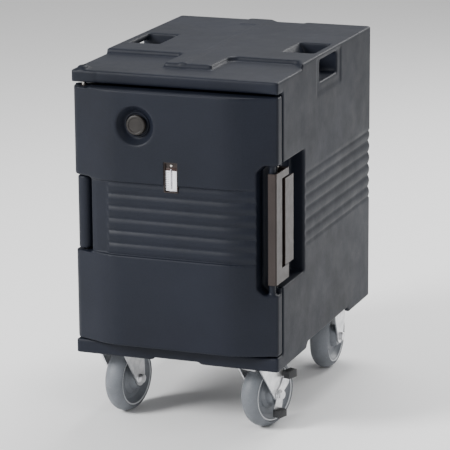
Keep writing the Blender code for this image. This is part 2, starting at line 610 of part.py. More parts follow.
def build_door():
    front = LID_Y - DOOR_BULGE
    rear = LID_Y + DOOR_EDGE
    shell = plate("door_shell", door_outline(), DOOR_BOTTOM, DOOR_TOP, finish="shell")
    notch = box(
        "knuckle_notch",
        (-HALF_WIDTH - OVER, front - OVER, BASE_Z + KNUCKLE_BOTTOM - KNUCKLE_CLEAR),
        (-HALF_WIDTH + BAND_START, rear + 0.03, BASE_Z + KNUCKLE_TOP + KNUCKLE_CLEAR),
    )
    band_outline = [
        (-HALF_WIDTH + BAND_INNER, LID_Y + BAND_DEPTH), (-DOOR_FLAT / 2, front + BAND_DEPTH),
        (DOOR_FLAT / 2, front + BAND_DEPTH), (HALF_WIDTH - BAND_OUTER, LID_Y + 0.001),
        (HALF_WIDTH - BAND_OUTER, front - OVER), (-HALF_WIDTH + BAND_INNER, front - OVER),
    ]
    band = plate("band", band_outline, BASE_Z + BAND_BOTTOM, BASE_Z + BAND_TOP)
    left = HALF_WIDTH - EDGE_WIDTH
    low = BASE_Z + EDGE_BOTTOM
    high = BASE_Z + EDGE_TOP
    edge_outline = [
        (HALF_WIDTH + OVER, low), (HALF_WIDTH + OVER, high), (left + EDGE_CHAMFER, high),
        (left, high - EDGE_CHAMFER), (left, low + EDGE_CHAMFER), (left + EDGE_CHAMFER, low),
    ]
    edge = plate("edge_recess", edge_outline, front - OVER, rear - 0.007, lay="Y")
    passage = box(
        "hook_passage",
        (KEEPER.x + 0.003, rear - EDGE_CHAMFER, BASE_Z + LATCH_BOTTOM),
        (HALF_WIDTH + OVER, rear + OVER, high - 0.005),
    )
    keeper_low = KEEPER + Vector((0, 0, EDGE_BOTTOM - SEATED))
    keeper = rod("keeper", keeper_low, KEEPER + Vector((0, 0, EDGE_TOP + SEATED)), KEEPER_RADIUS)
    dish = turned(
        "vent_dish",
        [
            (VENT_DISH_RADIUS + 0.004, -0.004), (VENT_DISH_RADIUS, 0), (VENT_DISH_FLOOR, VENT_DISH_DEPTH),
            (0, VENT_DISH_DEPTH), (0, -0.02), (VENT_DISH_RADIUS + 0.004, -0.02),
        ][::-1],
        (VENT_X, front, BASE_Z + VENT_Z), (0, 1, 0), sides=28,
    )
    window = box(
        "gauge_window",
        (GAUGE_X - GAUGE_WIDTH / 2, front - OVER, BASE_Z + GAUGE_Z - GAUGE_HEIGHT / 2),
        (GAUGE_X + GAUGE_WIDTH / 2, front + GAUGE_DEPTH, BASE_Z + GAUGE_Z + GAUGE_HEIGHT / 2),
    )
    bore = rod("door_bore", HINGE, (HINGE.x, HINGE.y, TOP_Z), HINGE_ROD_RADIUS + BUSH_WALL + 2 * GAP)
    inside = rear + PLUG_DEPTH + OVER
    vent_z = BASE_Z + VENT_Z
    stem_hole = VENT_STEM_RADIUS + STEM_CLEAR
    vent_bore = rod("vent_bore", (VENT_X, front, vent_z), (VENT_X, inside, vent_z), stem_hole, sides=12)
    probe_z = BASE_Z + GAUGE_Z + GAUGE_HEIGHT / 2 - PROBE_DROP
    probe_hole = PROBE_RADIUS + GAP
    probe_low = (GAUGE_X, front, probe_z)
    probe_bore = rod("probe_bore", probe_low, (GAUGE_X, inside, probe_z), probe_hole, sides=12)
    cut(shell, door_cavity("skin_cavity", 0), notch, band, edge, passage)
    join(shell, keeper)
    cut(shell, dish, window, bore, vent_bore, probe_bore)

    foam = door_cavity("door_foam", GAP, "foam")
    panel_y = rear - PANEL_THICK
    behind = box("foam_trim", (-HALF_WIDTH, panel_y - GAP, BASE_Z), (HALF_WIDTH, rear + 2 * OVER, TOP_Z))
    cut(foam, behind, vent_bore, probe_bore)

    outline = cavity_outline(GAP)
    panel = box(
        "door_liner",
        (outline[0][0], panel_y, DOOR_BOTTOM + DOOR_RIM + GAP),
        (outline[-1][0], rear, DOOR_TOP - DOOR_RIM - GAP),
        "liner",
    )
    plug = box(
        "door_plug",
        (-CABIN_WIDTH / 2 + PLUG_CLEAR, rear - PANEL_THICK / 2, CABIN_Z + PLUG_CLEAR),
        (CABIN_WIDTH / 2 - PLUG_CLEAR, rear + PLUG_DEPTH, CABIN_Z + CABIN_HEIGHT - PLUG_CLEAR),
    )
    join(panel, plug)
    cut(panel, vent_bore, probe_bore)

    inner_x = CABIN_WIDTH / 2 + GASKET_EASE
    outer_x = inner_x + GASKET_WIDTH
    inner_low = CABIN_Z - GASKET_EASE
    inner_high = CABIN_Z + CABIN_HEIGHT + GASKET_EASE
    gasket = box(
        "door_gasket",
        (-outer_x, rear + GAP, inner_low - GASKET_WIDTH), (outer_x, FACE_Y - GAP, inner_high + GASKET_WIDTH),
        "gasket",
    )
    hole = box("gasket_hole", (-inner_x, rear - OVER, inner_low), (inner_x, FACE_Y + OVER, inner_high))
    cut(gasket, hole)

    for name, low, high in (
        ("hinge_bush_lower", DOOR_BOTTOM + BUSH_INSET, DOOR_BOTTOM + BUSH_INSET + BUSH_LENGTH),
        ("hinge_bush_upper", DOOR_TOP - BUSH_INSET - BUSH_LENGTH, DOOR_TOP - BUSH_INSET),
    ):
        turned(
            name, ring_profile(HINGE_ROD_RADIUS + GAP, HINGE_ROD_RADIUS + GAP + BUSH_WALL, low, high),
            (HINGE.x, HINGE.y, 0), (0, 0, 1), "nylon", sides=16,
        )
    rod_foot = (HINGE.x, HINGE.y, UNDER_Z + ROD_FOOT)
    rod("hinge_rod", rod_foot, (HINGE.x, HINGE.y, LEDGE_Z + ROD_TOP), HINGE_ROD_RADIUS, "rod")


def build_vent():
    floor = LID_Y - DOOR_BULGE + VENT_DISH_DEPTH
    at = pivot("vent_slide", (VENT_X, floor, BASE_Z + VENT_Z))
    seal_in = VENT_STEM_RADIUS + 0.002
    seal = ring_profile(seal_in, VENT_CAP_RADIUS - CAP_EDGE, GAP, GAP + SEAL_THICK)
    turned("vent_seal", seal, (0, 0, 0), (0, -1, 0), "gasket", at, 16)
    base = 2 * GAP + SEAL_THICK
    profile = [
        (0, base + VENT_CAP_THICK), (VENT_CAP_RADIUS - CAP_EDGE, base + VENT_CAP_THICK),
        (VENT_CAP_RADIUS, base + VENT_CAP_THICK - CAP_EDGE), (VENT_CAP_RADIUS, base),
        (VENT_STEM_RADIUS, base), (VENT_STEM_RADIUS, -VENT_STEM_REACH), (0, -VENT_STEM_REACH),
    ]
    turned("vent_cap", profile, (0, 0, 0), (0, -1, 0), "vent", at, 24)


def build_gauge():
    front = LID_Y - DOOR_BULGE
    back = front + GAUGE_DEPTH - GAP
    low = BASE_Z + GAUGE_Z - GAUGE_HEIGHT / 2 + GAP
    high = BASE_Z + GAUGE_Z + GAUGE_HEIGHT / 2 - GAP
    half = GAUGE_WIDTH / 2 - GAP
    housing_front = front + HOUSING_INSET
    housing_low = (GAUGE_X - half, housing_front, low)
    housing = box("thermometer_housing", housing_low, (GAUGE_X + half, back, high), "nylon")
    tray_x = half - HOUSING_WALL
    tray = box(
        "gauge_tray",
        (GAUGE_X - tray_x, back - OVER, low + HOUSING_WALL),
        (GAUGE_X + tray_x, back - HOUSING_FLOOR, high - HOUSING_WALL),
    )
    probe_z = high - PROBE_DROP + GAP
    bore_low = (GAUGE_X, back - OVER, probe_z)
    bore = rod("gauge_bore", bore_low, (GAUGE_X, back + OVER, probe_z), PROBE_RADIUS + GAP, sides=12)
    cut(housing, tray, bore)
    card_back = back - HOUSING_FLOOR - GAP
    card_front = card_back - CARD_THICK
    card_x = tray_x - CARD_EASE
    box(
        "thermometer_card",
        (GAUGE_X - card_x, card_front, low + HOUSING_WALL + CARD_EASE),
        (GAUGE_X + card_x, card_back, high - CARD_TOP),
        "card",
    )
    tube_y = card_front - TUBE_RADIUS - GAP
    tube_low = (GAUGE_X, tube_y, low + TUBE_BOTTOM)
    rod("thermometer_tube", tube_low, (GAUGE_X, tube_y, high - TUBE_TOP), TUBE_RADIUS, "glass", sides=8)
    probe_low = (GAUGE_X, back - HOUSING_FLOOR - CARD_EASE, probe_z)
    probe_high = (GAUGE_X, FACE_Y + PROBE_REACH, probe_z)
    rod("thermometer_probe", probe_low, probe_high, PROBE_RADIUS, "rod", sides=12)


# ---------------------------------------------------------------- latch
def build_latch():
    rod_low = LATCH_ROD + Vector((0, 0, LATCH_BOTTOM - ROD_SEAT))
    rod_high = LATCH_ROD + Vector((0, 0, LATCH_TOP + ROD_SEAT))
    rod("latch_rod", rod_low, rod_high, LATCH_ROD_RADIUS, "rod", sides=12)
    at = pivot("latch_pivot", LATCH_ROD)
    pin = LATCH_PIN - LATCH_ROD
    outer = HALF_WIDTH - LATCH_ROD.x
    hook_inner = outer - LATCH_PLATE - 0.002
    barrel = LATCH_ROD_RADIUS + PIVOT_CLEAR + BARREL_WALL
    handle = rod("latch_handle", (0, 0, HANDLE_BOTTOM), (0, 0, HANDLE_TOP), barrel, "nylon", at)
    pin_barrel = LINK_PIN_RADIUS + GAP + BARREL_WALL
    boss_low = (pin.x, pin.y, HANDLE_BOTTOM)
    pin_boss = rod("pin_boss", boss_low, (pin.x, pin.y, HANDLE_TOP), pin_barrel, parent=at)
    web = box("handle_web", (-0.003, 0, HANDLE_BOTTOM), (outer - 0.001, pin.y, HANDLE_TOP), parent=at)
    grip_low = (outer - LATCH_PLATE, -0.004, HANDLE_BOTTOM)
    grip = box("handle_grip", grip_low, (outer, HANDLE_REACH, HANDLE_TOP), parent=at)
    low = HANDLE_BOTTOM - OVER
    high = HANDLE_TOP + OVER
    bore = rod("handle_bore", (0, 0, low), (0, 0, high), LATCH_ROD_RADIUS + GAP, parent=at, sides=12)
    pin_hole = LINK_PIN_RADIUS + GAP
    pin_bore = rod("pin_bore", (pin.x, pin.y, low), (pin.x, pin.y, high), pin_hole, parent=at, sides=12)
    join(handle, pin_boss, web, grip)
    cut(handle, bore, pin_bore)
    pin_low = (pin.x, pin.y, HOOK_BOTTOM + PIN_INSET)
    rod("latch_link_pin", pin_low, (pin.x, pin.y, HOOK_TOP - PIN_INSET), LINK_PIN_RADIUS, "rod", at, sides=12)

    link = pivot("link_pivot", pin, at)
    plate_in = hook_inner - pin.x
    plate_out = plate_in + LATCH_PLATE
    nose_front = KEEPER.y - KEEPER_RADIUS - HOOK_CLEAR - LATCH_PIN.y
    nose_back = nose_front - LATCH_PLATE
    nose_tip = KEEPER.x - KEEPER_RADIUS * 0.7 - LATCH_PIN.x
    plate_back = -math.hypot(outer - pin.x, HANDLE_REACH - pin.y) - 0.001
    outline = [
        (nose_tip, nose_front), (nose_tip, nose_back), (plate_out - 0.003, nose_back),
        (plate_out, nose_back + 0.003), (plate_out, EYE_HALF), (-0.006, EYE_HALF), (-0.006, -EYE_HALF),
        (plate_in, -EYE_HALF), (plate_in, nose_front),
    ]
    hook = plate("latch_hook", outline, HOOK_BOTTOM, HOOK_TOP, finish="nylon", parent=link)
    window = box(
        "hook_window",
        (-OVER, plate_back, HANDLE_BOTTOM - WINDOW_EASE), (OVER, OVER, HANDLE_TOP + WINDOW_EASE), parent=link,
    )
    eye_low = (0, 0, HOOK_BOTTOM - OVER)
    eye = rod("hook_eye", eye_low, (0, 0, HOOK_TOP + OVER), LINK_PIN_RADIUS + GAP, parent=link, sides=12)
    cut(hook, window, eye)


# ---------------------------------------------------------------- casters
def build_stud_plate(name, x, y):
    """Steel plate moulded into the base, whose four studs pass down through the wall and a caster's plate."""
    low = UNDER_Z + WALL + 2 * GAP
    steel = box(
        name, (x - STUD_SPAN_X / 2 - STUD_EDGE, y - STUD_SPAN_Y / 2 - STUD_EDGE, low),
        (x + STUD_SPAN_X / 2 + STUD_EDGE, y + STUD_SPAN_Y / 2 + STUD_EDGE, low + STUD_PLATE), "zinc",
    )
    for side in (-1, 1):
        for end in (-1, 1):
            foot = Vector((x + side * STUD_SPAN_X / 2, y + end * STUD_SPAN_Y / 2, 0))
            stud = rod(
                f"{name}_stud_{side}_{end}", foot + Vector((0, 0, UNDER_Z - PLATE_THICK - STUD_REACH)),
                foot + Vector((0, 0, low + STUD_PLATE / 2)), STUD_RADIUS, sides=8,
            )
            join(steel, stud)
    return steel


def stud_holes(name, x, y, low, high):
    holes = []
    for side in (-1, 1):
        for end in (-1, 1):
            foot = Vector((x + side * STUD_SPAN_X / 2, y + end * STUD_SPAN_Y / 2, 0))
            start = foot + Vector((0, 0, low))
            stop = foot + Vector((0, 0, high))
            holes.append(rod(f"{name}_{side}_{end}", start, stop, STUD_RADIUS + STUD_CLEAR, sides=8))
    return holes


def build_wheel(name, at, leg_out, bolt_out):
    """A wheel about the X axis of its pivot, with its spacer, axle bolt and nut."""
    rim = RIM_RADIUS
    bore = AXLE_RADIUS + 2 * GAP + SPACER_WALL + GAP
    lip = rim - RIM_LIP
    web = rim - 2 * RIM_LIP
    half = WEB_WIDTH / 2
    hub_face = HUB_RADIUS - 0.003
    core = [
        (rim, RIM_WIDTH / 2), (rim, -RIM_WIDTH / 2), (lip, -RIM_WIDTH / 2), (web, -half), (HUB_RADIUS, -half),
        (hub_face, -HUB_WIDTH / 2), (bore, -HUB_WIDTH / 2), (bore, HUB_WIDTH / 2), (hub_face, HUB_WIDTH / 2),
        (HUB_RADIUS, half), (web, half), (lip, RIM_WIDTH / 2),
    ]
    turned(name + "_wheel_core", core, (0, 0, 0), (1, 0, 0), "core", at, 28)
    swell = TREAD_WIDTH / 2
    crown = (WHEEL_RADIUS - swell, 0)
    start = math.degrees(math.asin((rim + GAP - crown[0]) / swell))
    section = arc(crown, swell, 90 - start, start - 90, 8)
    vertex = 1 / math.cos(math.pi / TREAD_SIDES)
    tread = [(radius * vertex, across) for radius, across in section[1:-1]]
    inner = (rim + GAP) * vertex
    tread = [(inner, section[0][1])] + tread + [(inner, section[-1][1])]
    tyre = turned(name + "_wheel_tread", tread, (0, 0, 0), (1, 0, 0), "tread", at, TREAD_SIDES)
    tyre.rotation_euler.rotate_axis("Z", math.pi / TREAD_SIDES)
    half = HUB_WIDTH / 2 + LEG_CLEAR - GAP
    turned(
        name + "_axle_spacer", ring_profile(AXLE_RADIUS + GAP, AXLE_RADIUS + GAP + SPACER_WALL, -half, half),
        (0, 0, 0), (1, 0, 0), "zinc", at, 16,
    )


def build_axle(name, at, near, far):
    """Bolt with its head at the far side and its nut at the near side of a fork."""
    bolt = rod(name + "_axle_bolt", (-near - BOLT_END, 0, 0), (far + SEATED, 0, 0), AXLE_RADIUS, "zinc", at)
    head_end = far + BOLT_HEAD_THICK
    head = rod(name + "_bolt_head", (far + GAP, 0, 0), (head_end, 0, 0), BOLT_HEAD_RADIUS, parent=at, sides=6)
    join(bolt, head)
    nut_end = (-near - NUT_THICK, 0, 0)
    nut = rod(name + "_axle_nut", nut_end, (-near - GAP, 0, 0), BOLT_HEAD_RADIUS, "zinc", at, 6)
    hole = rod(name + "_nut_hole", (-near - OVER, 0, 0), (-near + OVER, 0, 0), AXLE_RADIUS + GAP, parent=at)
    cut(nut, hole)


def leg_outline(trail, top, rigid):
    """Side view of a fork's leg: wide under the crown, tapering to a round end at the axle."""
    tip = arc((trail, 0), LEG_TIP_RADIUS, -25, -155, 6)
    if rigid:
        wide = LEG_TOP_HALF - 0.003
        level = top - LEG_SHOULDER
        return [(LEG_TOP_HALF, top), (wide, level)] + tip + [(-wide, level), (-LEG_TOP_HALF, top)]
    front = [(SHOE_Y - 0.004, top - 0.022), (-CROWN_FRONT, top)]
    return [(CROWN_REAR, top), (trail + 0.016, 0.010)] + tip + front


def build_swivel(name, x, turn, braked):
    y = LID_Y + CASTER_FRONT
    plate_top = UNDER_Z - GAP
    mount = box(
        name + "_top_plate",
        (x - PLATE_WIDTH / 2, y - PLATE_LENGTH / 2, plate_top - PLATE_THICK),
        (x + PLATE_WIDTH / 2, y + PLATE_LENGTH / 2, plate_top), "zinc",
    )
    cut(mount, *stud_holes(name + "_hole", x, y, UNDER_Z - OVER, UNDER_Z + OVER))
    race_top = plate_top - PLATE_THICK - GAP
    race_low = race_top - RACE_HEIGHT
    swell = 0.003
    bore = KINGPIN_RADIUS + GAP
    turned(
        name + "_race_ring",
        [
            (RACE_RADIUS - swell, race_top), (RACE_RADIUS, race_top - swell), (RACE_RADIUS, race_low + swell),
            (RACE_RADIUS - swell, race_low), (bore, race_low), (bore, race_top),
        ],
        (x, y, 0), (0, 0, 1), "zinc", sides=24,
    )
    crown_top = CROWN_TOP
    head_top = crown_top - CROWN_THICK - GAP
    pin = rod(name + "_kingpin", (x, y, head_top - SEATED), (x, y, race_top - GAP), KINGPIN_RADIUS, "zinc")
    head_low = (x, y, head_top - KINGPIN_HEAD_THICK)
    head = rod(name + "_kingpin_head", head_low, (x, y, head_top), KINGPIN_HEAD_RADIUS, sides=12)
    join(pin, head)

    swivel = pivot(name + "_swivel", (x, y, 0), turn=turn)
    inner = HUB_WIDTH / 2 + LEG_CLEAR
    outer = inner + LEG_THICK
    crown_low = (-outer, -CROWN_FRONT, crown_top - CROWN_THICK)
    fork = box(name + "_fork", crown_low, (outer, CROWN_REAR, crown_top), "zinc", swivel)
    axle_z = WHEEL_RADIUS
    side_view = leg_outline(CASTER_TRAIL, crown_top - axle_z, False)
    for side in (-1, 1):
        low = min(side * inner, side * outer)
        leg = plate(f"{name}_leg_{side}", side_view, low, low + LEG_THICK, lay="X", parent=swivel)
        leg.location.z = axle_z
        join(fork, leg)
    hole_low = (0, 0, crown_top - OVER)
    hole_high = (0, 0, crown_top + OVER)
    king_hole = rod(name + "_king_hole", hole_low, hole_high, KINGPIN_RADIUS + GAP, parent=swivel)
    cut(fork, king_hole)
    axle = pivot(name + "_axle", (0, CASTER_TRAIL, axle_z), swivel)
    axle_hole = rod(name + "_axle_hole", (-3 * OVER, 0, 0), (3 * OVER, 0, 0), AXLE_RADIUS + GAP, parent=axle)
    cut(fork, axle_hole)
    far = outer + (BRAKE_PLATE + 2 * GAP if braked else 0)
    build_wheel(name, axle, outer, far)
    build_axle(name, axle, outer, far)
    if braked:
        build_brake(name, fork, swivel, axle, inner, outer, crown_top)


def build_brake(name, fork, swivel, axle, inner, outer, crown_top):
    """Foot lever outside the fork, turning on the axle bolt, and the shoe that it presses on the tread."""
    lever_outline = arc((0, 0), LEVER_EYE, 150, 210, 3)
    lever_outline += [(-0.020, -0.026), (-0.016, -0.040), (0.004, -0.038)]
    lever_outline += arc((0, 0), LEVER_EYE, -40, 20, 3)
    lever_outline += [(0.030, 0.018), (0.036, 0.040), (0.016, 0.046), (0.004, 0.022)]
    low = outer + GAP
    lever = plate("brake_lever", lever_outline, low, low + BRAKE_PLATE, lay="X", finish="zinc", parent=axle)
    hole = rod("lever_hole", (low - OVER, 0, 0), (low + OVER, 0, 0), AXLE_RADIUS + GAP, parent=axle)
    cut(lever, hole)
    slot_outline = grown(lever_outline, GAP)
    for label, (y0, z0), (y1, z1) in (
        ("brake_pad_lower", (-0.0225, -0.046), (0.0035, -0.030)),
        ("brake_pad_upper", (0.012, 0.034), (0.040, 0.051)),
    ):
        pad = box(label, (low + PAD_LIFT, y0, z0), (low + PAD_REACH, y1, z1), "pad", axle)
        slot = plate(label + "_slot", slot_outline, low - OVER, low + BRAKE_PLATE + GAP, lay="X", parent=axle)
        cut(pad, slot)
    at = pivot("shoe_pivot", (0, SHOE_Y, crown_top - SHOE_DROP), swivel)
    shoe = rod("brake_shoe", (-SHOE_HALF, 0, 0), (SHOE_HALF, 0, 0), SHOE_RADIUS, "zinc", at)
    tongue = box("shoe_tongue", (-0.016, 0, -0.008), (0.016, 0.012, 0.003), parent=at)
    across = 3 * OVER
    shoe_hole = rod("shoe_hole", (-across, 0, 0), (across, 0, 0), SHOE_PIN_RADIUS + GAP, parent=at, sides=12)
    join(shoe, tongue)
    cut(shoe, shoe_hole)
    pin_end = outer - 0.0005
    rod("brake_shoe_pin", (-pin_end, 0, 0), (pin_end, 0, 0), SHOE_PIN_RADIUS, "zinc", at, sides=12)
    hole = rod("shoe_pin_hole", (-across, 0, 0), (across, 0, 0), SHOE_PIN_RADIUS + GAP, parent=at, sides=12)
    cut(fork, hole)


def grown(outline, by):
    """Move an outline outwards from its middle by about a small distance."""
    middle = Vector((sum(p[0] for p in outline), sum(p[1] for p in outline))) / len(outline)
    out = []
    for point in outline:
        away = (Vector(point) - middle).normalized() * by * 2
        out.append((point[0] + away.x, point[1] + away.y))
    return out


def build_rigid(name, x):
    y = REAR_Y - CASTER_REAR
    top = UNDER_Z - GAP
    at = pivot(name + "_axle", (x, y, WHEEL_RADIUS))
    fork = box(
        name + "_fork",
        (x - PLATE_WIDTH / 2, y - PLATE_LENGTH / 2, top - PLATE_THICK),
        (x + PLATE_WIDTH / 2, y + PLATE_LENGTH / 2, top), "zinc",
    )
    inner = HUB_WIDTH / 2 + LEG_CLEAR
    outer = inner + LEG_THICK
    side_view = leg_outline(0, top - PLATE_THICK / 2 - WHEEL_RADIUS, True)
    for side in (-1, 1):
        low = min(side * inner, side * outer)
        leg = plate(f"{name}_leg_{side}", side_view, low, low + LEG_THICK, lay="X", parent=at)
        join(fork, leg)
    axle_hole = rod(name + "_axle_hole", (-3 * OVER, 0, 0), (3 * OVER, 0, 0), AXLE_RADIUS + GAP, parent=at)
    cut(fork, axle_hole, *stud_holes(name + "_hole", x, y, UNDER_Z - OVER, UNDER_Z + OVER))
    build_wheel(name, at, outer, outer)
    build_axle(name, at, outer, outer)


def build_casters(shell, foam):
    side = HALF_WIDTH - CASTER_INSET_X
    front = LID_Y + CASTER_FRONT
    rear = REAR_Y - CASTER_REAR
    half_x = STUD_SPAN_X / 2 + STUD_EDGE + GAP
    half_y = STUD_SPAN_Y / 2 + STUD_EDGE + GAP
    for label, x, y in (
        ("front_left", -side, front), ("front_right", side, front),
        ("rear_left", -side, rear), ("rear_right", side, rear),
    ):
        build_stud_plate(f"stud_plate_{label}", x, y)
        cut(shell, *stud_holes(f"base_{label}", x, y, UNDER_Z - OVER, UNDER_Z + WALL + SEATED))
        low = UNDER_Z + WALL
        pocket = box(
            f"pocket_{label}",
            (x - half_x, y - half_y, low - OVER), (x + half_x, y + half_y, low + STUD_PLATE + 3 * GAP),
        )
        cut(foam, pocket)
    build_swivel("front_left", -side, SWIVEL_LEFT, False)
    build_swivel("front_right", side, SWIVEL_RIGHT, True)
    build_rigid("rear_left", -side)
    build_rigid("rear_right", side)


cabinet, insulation = build_cabinet()
build_door()
build_vent()
build_gauge()
build_latch()
build_casters(cabinet, insulation)
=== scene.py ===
import json
import math

import bpy
from mathutils import Matrix, Vector


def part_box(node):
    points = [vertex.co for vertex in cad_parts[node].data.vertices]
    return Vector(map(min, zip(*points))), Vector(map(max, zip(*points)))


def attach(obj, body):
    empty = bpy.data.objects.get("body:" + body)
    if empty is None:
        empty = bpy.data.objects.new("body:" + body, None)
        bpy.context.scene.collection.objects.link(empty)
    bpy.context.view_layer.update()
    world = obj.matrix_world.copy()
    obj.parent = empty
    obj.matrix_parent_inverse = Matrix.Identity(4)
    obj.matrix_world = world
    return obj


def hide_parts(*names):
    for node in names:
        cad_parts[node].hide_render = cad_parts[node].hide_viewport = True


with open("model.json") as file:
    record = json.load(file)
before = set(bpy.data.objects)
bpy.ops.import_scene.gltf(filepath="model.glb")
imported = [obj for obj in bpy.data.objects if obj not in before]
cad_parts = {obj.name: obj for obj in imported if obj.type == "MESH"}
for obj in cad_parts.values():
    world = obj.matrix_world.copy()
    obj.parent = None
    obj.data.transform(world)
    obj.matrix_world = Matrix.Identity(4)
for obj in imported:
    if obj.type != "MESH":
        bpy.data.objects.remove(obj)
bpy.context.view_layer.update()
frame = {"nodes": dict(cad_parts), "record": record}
joints = {joint["name"]: joint for joint in frame["record"]["behaviour"]["joints"]}
gap = 0.0003  # clear space between pieces that meet
weldReach = 0.000005  # points nearer than this are one point


def deselectAll():
    if bpy.context.object and bpy.context.object.mode != "OBJECT":
        bpy.ops.object.mode_set(mode="OBJECT")
    for each in bpy.context.selected_objects:
        each.select_set(False)


def pick(piece):
    deselectAll()
    piece.select_set(True)
    bpy.context.view_layer.objects.active = piece


def corners(node):
    low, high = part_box(node)
    return Vector(low), Vector(high)


def settle(piece, name):
    # a finished piece sits at the origin, with its place in its mesh
    pick(piece)
    bpy.ops.object.transform_apply(location=True, rotation=True, scale=True)
    piece.name = name
    piece.data.name = name
    return piece


def addBlock(name, low, high):
    deselectAll()
    low = Vector(low)
    high = Vector(high)
    bpy.ops.mesh.primitive_cube_add(size=1, location=(low + high) / 2)
    bpy.context.object.scale = high - low
    return settle(bpy.context.object, name)


def addBar(name, start, end, radius, sides=32):
    deselectAll()
    start = Vector(start)
    along = Vector(end) - start
    bpy.ops.mesh.primitive_cylinder_add(
        vertices=sides, radius=radius, depth=along.length, location=start + along / 2
    )
    bpy.context.object.rotation_euler = along.to_track_quat("Z", "Y").to_euler()
    return settle(bpy.context.object, name)


def addPrism(name, outline, low, high, lay="Z"):
    # lay Z reads the outline as (x, y), lay X as (y, z), lay Y as (x, z)
    deselectAll()
    bpy.ops.mesh.primitive_circle_add(vertices=len(outline), radius=1, fill_type="NGON")
    piece = bpy.context.object
    for vertex, (u, v) in zip(piece.data.vertices, outline):
        vertex.co = {"Z": (u, v, low), "X": (low, u, v), "Y": (u, low, v)}[lay]
    rise = {"Z": (0, 0, high - low), "X": (high - low, 0, 0), "Y": (0, high - low, 0)}[lay]
    bpy.ops.object.mode_set(mode="EDIT")
    bpy.ops.mesh.select_all(action="SELECT")
    bpy.ops.mesh.extrude_region_move(TRANSFORM_OT_translate={"value": rise})
    bpy.ops.mesh.select_all(action="SELECT")
    bpy.ops.mesh.normals_make_consistent(inside=False)
    bpy.ops.object.mode_set(mode="OBJECT")
    return settle(piece, name)


def addTurned(name, profile, steps=64, at=(0, 0, 0), along=(0, 0, 1)):
    # spins a closed profile of (radius, height) about an axis
    deselectAll()
    bpy.ops.mesh.primitive_circle_add(vertices=len(profile), radius=1, fill_type="NOTHING")
    piece = bpy.context.object
    for vertex, (radius, height) in zip(piece.data.vertices, profile):
        vertex.co = (radius, 0, height)
    bpy.ops.object.mode_set(mode="EDIT")
    bpy.ops.mesh.select_all(action="SELECT")
    bpy.ops.mesh.spin(steps=steps, angle=2 * math.pi, center=(0, 0, 0), axis=(0, 0, 1))
    bpy.ops.mesh.select_all(action="SELECT")
    bpy.ops.mesh.remove_doubles(threshold=weldReach)
    bpy.ops.mesh.normals_make_consistent(inside=False)
    bpy.ops.object.mode_set(mode="OBJECT")
    piece.rotation_euler = Vector(along).to_track_quat("Z", "Y").to_euler()
    piece.location = at
    return settle(piece, name)


def modify(piece, kind, **settings):
    pick(piece)
    step = piece.modifiers.new(kind.lower(), kind)
    for key, value in settings.items():
        setattr(step, key, value)
    bpy.ops.object.modifier_apply(modifier=step.name)


def combine(target, *tools, how="DIFFERENCE"):
    for tool in tools:
        modify(target, "BOOLEAN", operation=how, object=tool, solver="EXACT")
        bpy.data.objects.remove(tool, do_unlink=True)
    return target


def smooth(piece, degrees=40):
    pick(piece)
    bpy.ops.object.shade_smooth_by_angle(angle=math.radians(degrees))


def rounded(piece, width, segments=2, degrees=32, shade=40):
    modify(
        piece, "BEVEL", width=width, segments=segments, limit_method="ANGLE",
        angle_limit=math.radians(degrees), use_clamp_overlap=True, harden_normals=False,
    )
    smooth(piece, shade)
    return piece


def copyNode(node, name):
    # a welded copy of a CAD solid, with its flat faces made whole
    deselectAll()
    piece = bpy.data.objects.new(name, frame["nodes"][node].data.copy())
    bpy.context.scene.collection.objects.link(piece)
    piece.data.materials.clear()
    pick(piece)
    bpy.ops.object.mode_set(mode="EDIT")
    bpy.ops.mesh.select_all(action="SELECT")
    bpy.ops.mesh.remove_doubles(threshold=weldReach)
    bpy.ops.mesh.dissolve_limited(angle_limit=math.radians(0.5))
    bpy.ops.object.mode_set(mode="OBJECT")
    return settle(piece, name)


def softened(piece, voxel, passes):
    # rotational moulding leaves no sharp edge, so the whole skin is remeshed and relaxed
    modify(piece, "REMESH", mode="VOXEL", voxel_size=voxel * 1, use_smooth_shade=True)
    modify(piece, "SMOOTH", factor=0.5, iterations=passes)
    return piece


def thinned(piece, keep):
    # flat and gently curved skin needs only some of the remesh's faces
    modify(piece, "DECIMATE", decimate_type="COLLAPSE", ratio=keep)
    pick(piece)
    bpy.ops.object.shade_smooth()
    modify(piece, "WEIGHTED_NORMAL", weight=50, keep_sharp=True)
    return piece


def finish(piece, body, slotName, material, *nodes):
    # gives a piece its material and its moving body, and hides the CAD nodes it stands for
    piece.data.materials.clear()
    piece.data.materials.append(material)
    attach(piece, body)
    if nodes:
        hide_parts(*nodes)
    return piece


def bow(before, corner, after, reach, steps=6):
    # a soft bend that leaves and meets its two sides a reach away from the corner
    corner = Vector(corner)
    start = corner + (Vector(before) - corner).normalized() * reach
    end = corner + (Vector(after) - corner).normalized() * reach
    points = []
    for i in range(steps + 1):
        s = i / steps
        points.append(tuple(start * (1 - s) ** 2 + corner * 2 * s * (1 - s) + end * s ** 2))
    return points


def arc(centre, radius, start, end, steps):
    points = []
    for i in range(steps + 1):
        angle = math.radians(start + (end - start) * i / steps)
        points.append((centre[0] + radius * math.cos(angle), centre[1] + radius * math.sin(angle)))
    return points


def linear(hexText):
    # an sRGB hex value as the linear colour Blender mixes with
    values = [int(hexText[i:i + 2], 16) / 255 for i in (0, 2, 4)]
    return (*[v / 12.92 if v <= 0.04045 else ((v + 0.055) / 1.055) ** 2.4 for v in values], 1)


def addNode(tree, kind, settings=None, links=None):
    node = tree.nodes.new(kind)
    for key, value in (settings or {}).items():
        if isinstance(key, int) or key in node.inputs:
            node.inputs[key].default_value = value
        else:
            setattr(node, key, value)
    for key, socket in (links or {}).items():
        tree.links.new(socket, node.inputs[key])
    return node


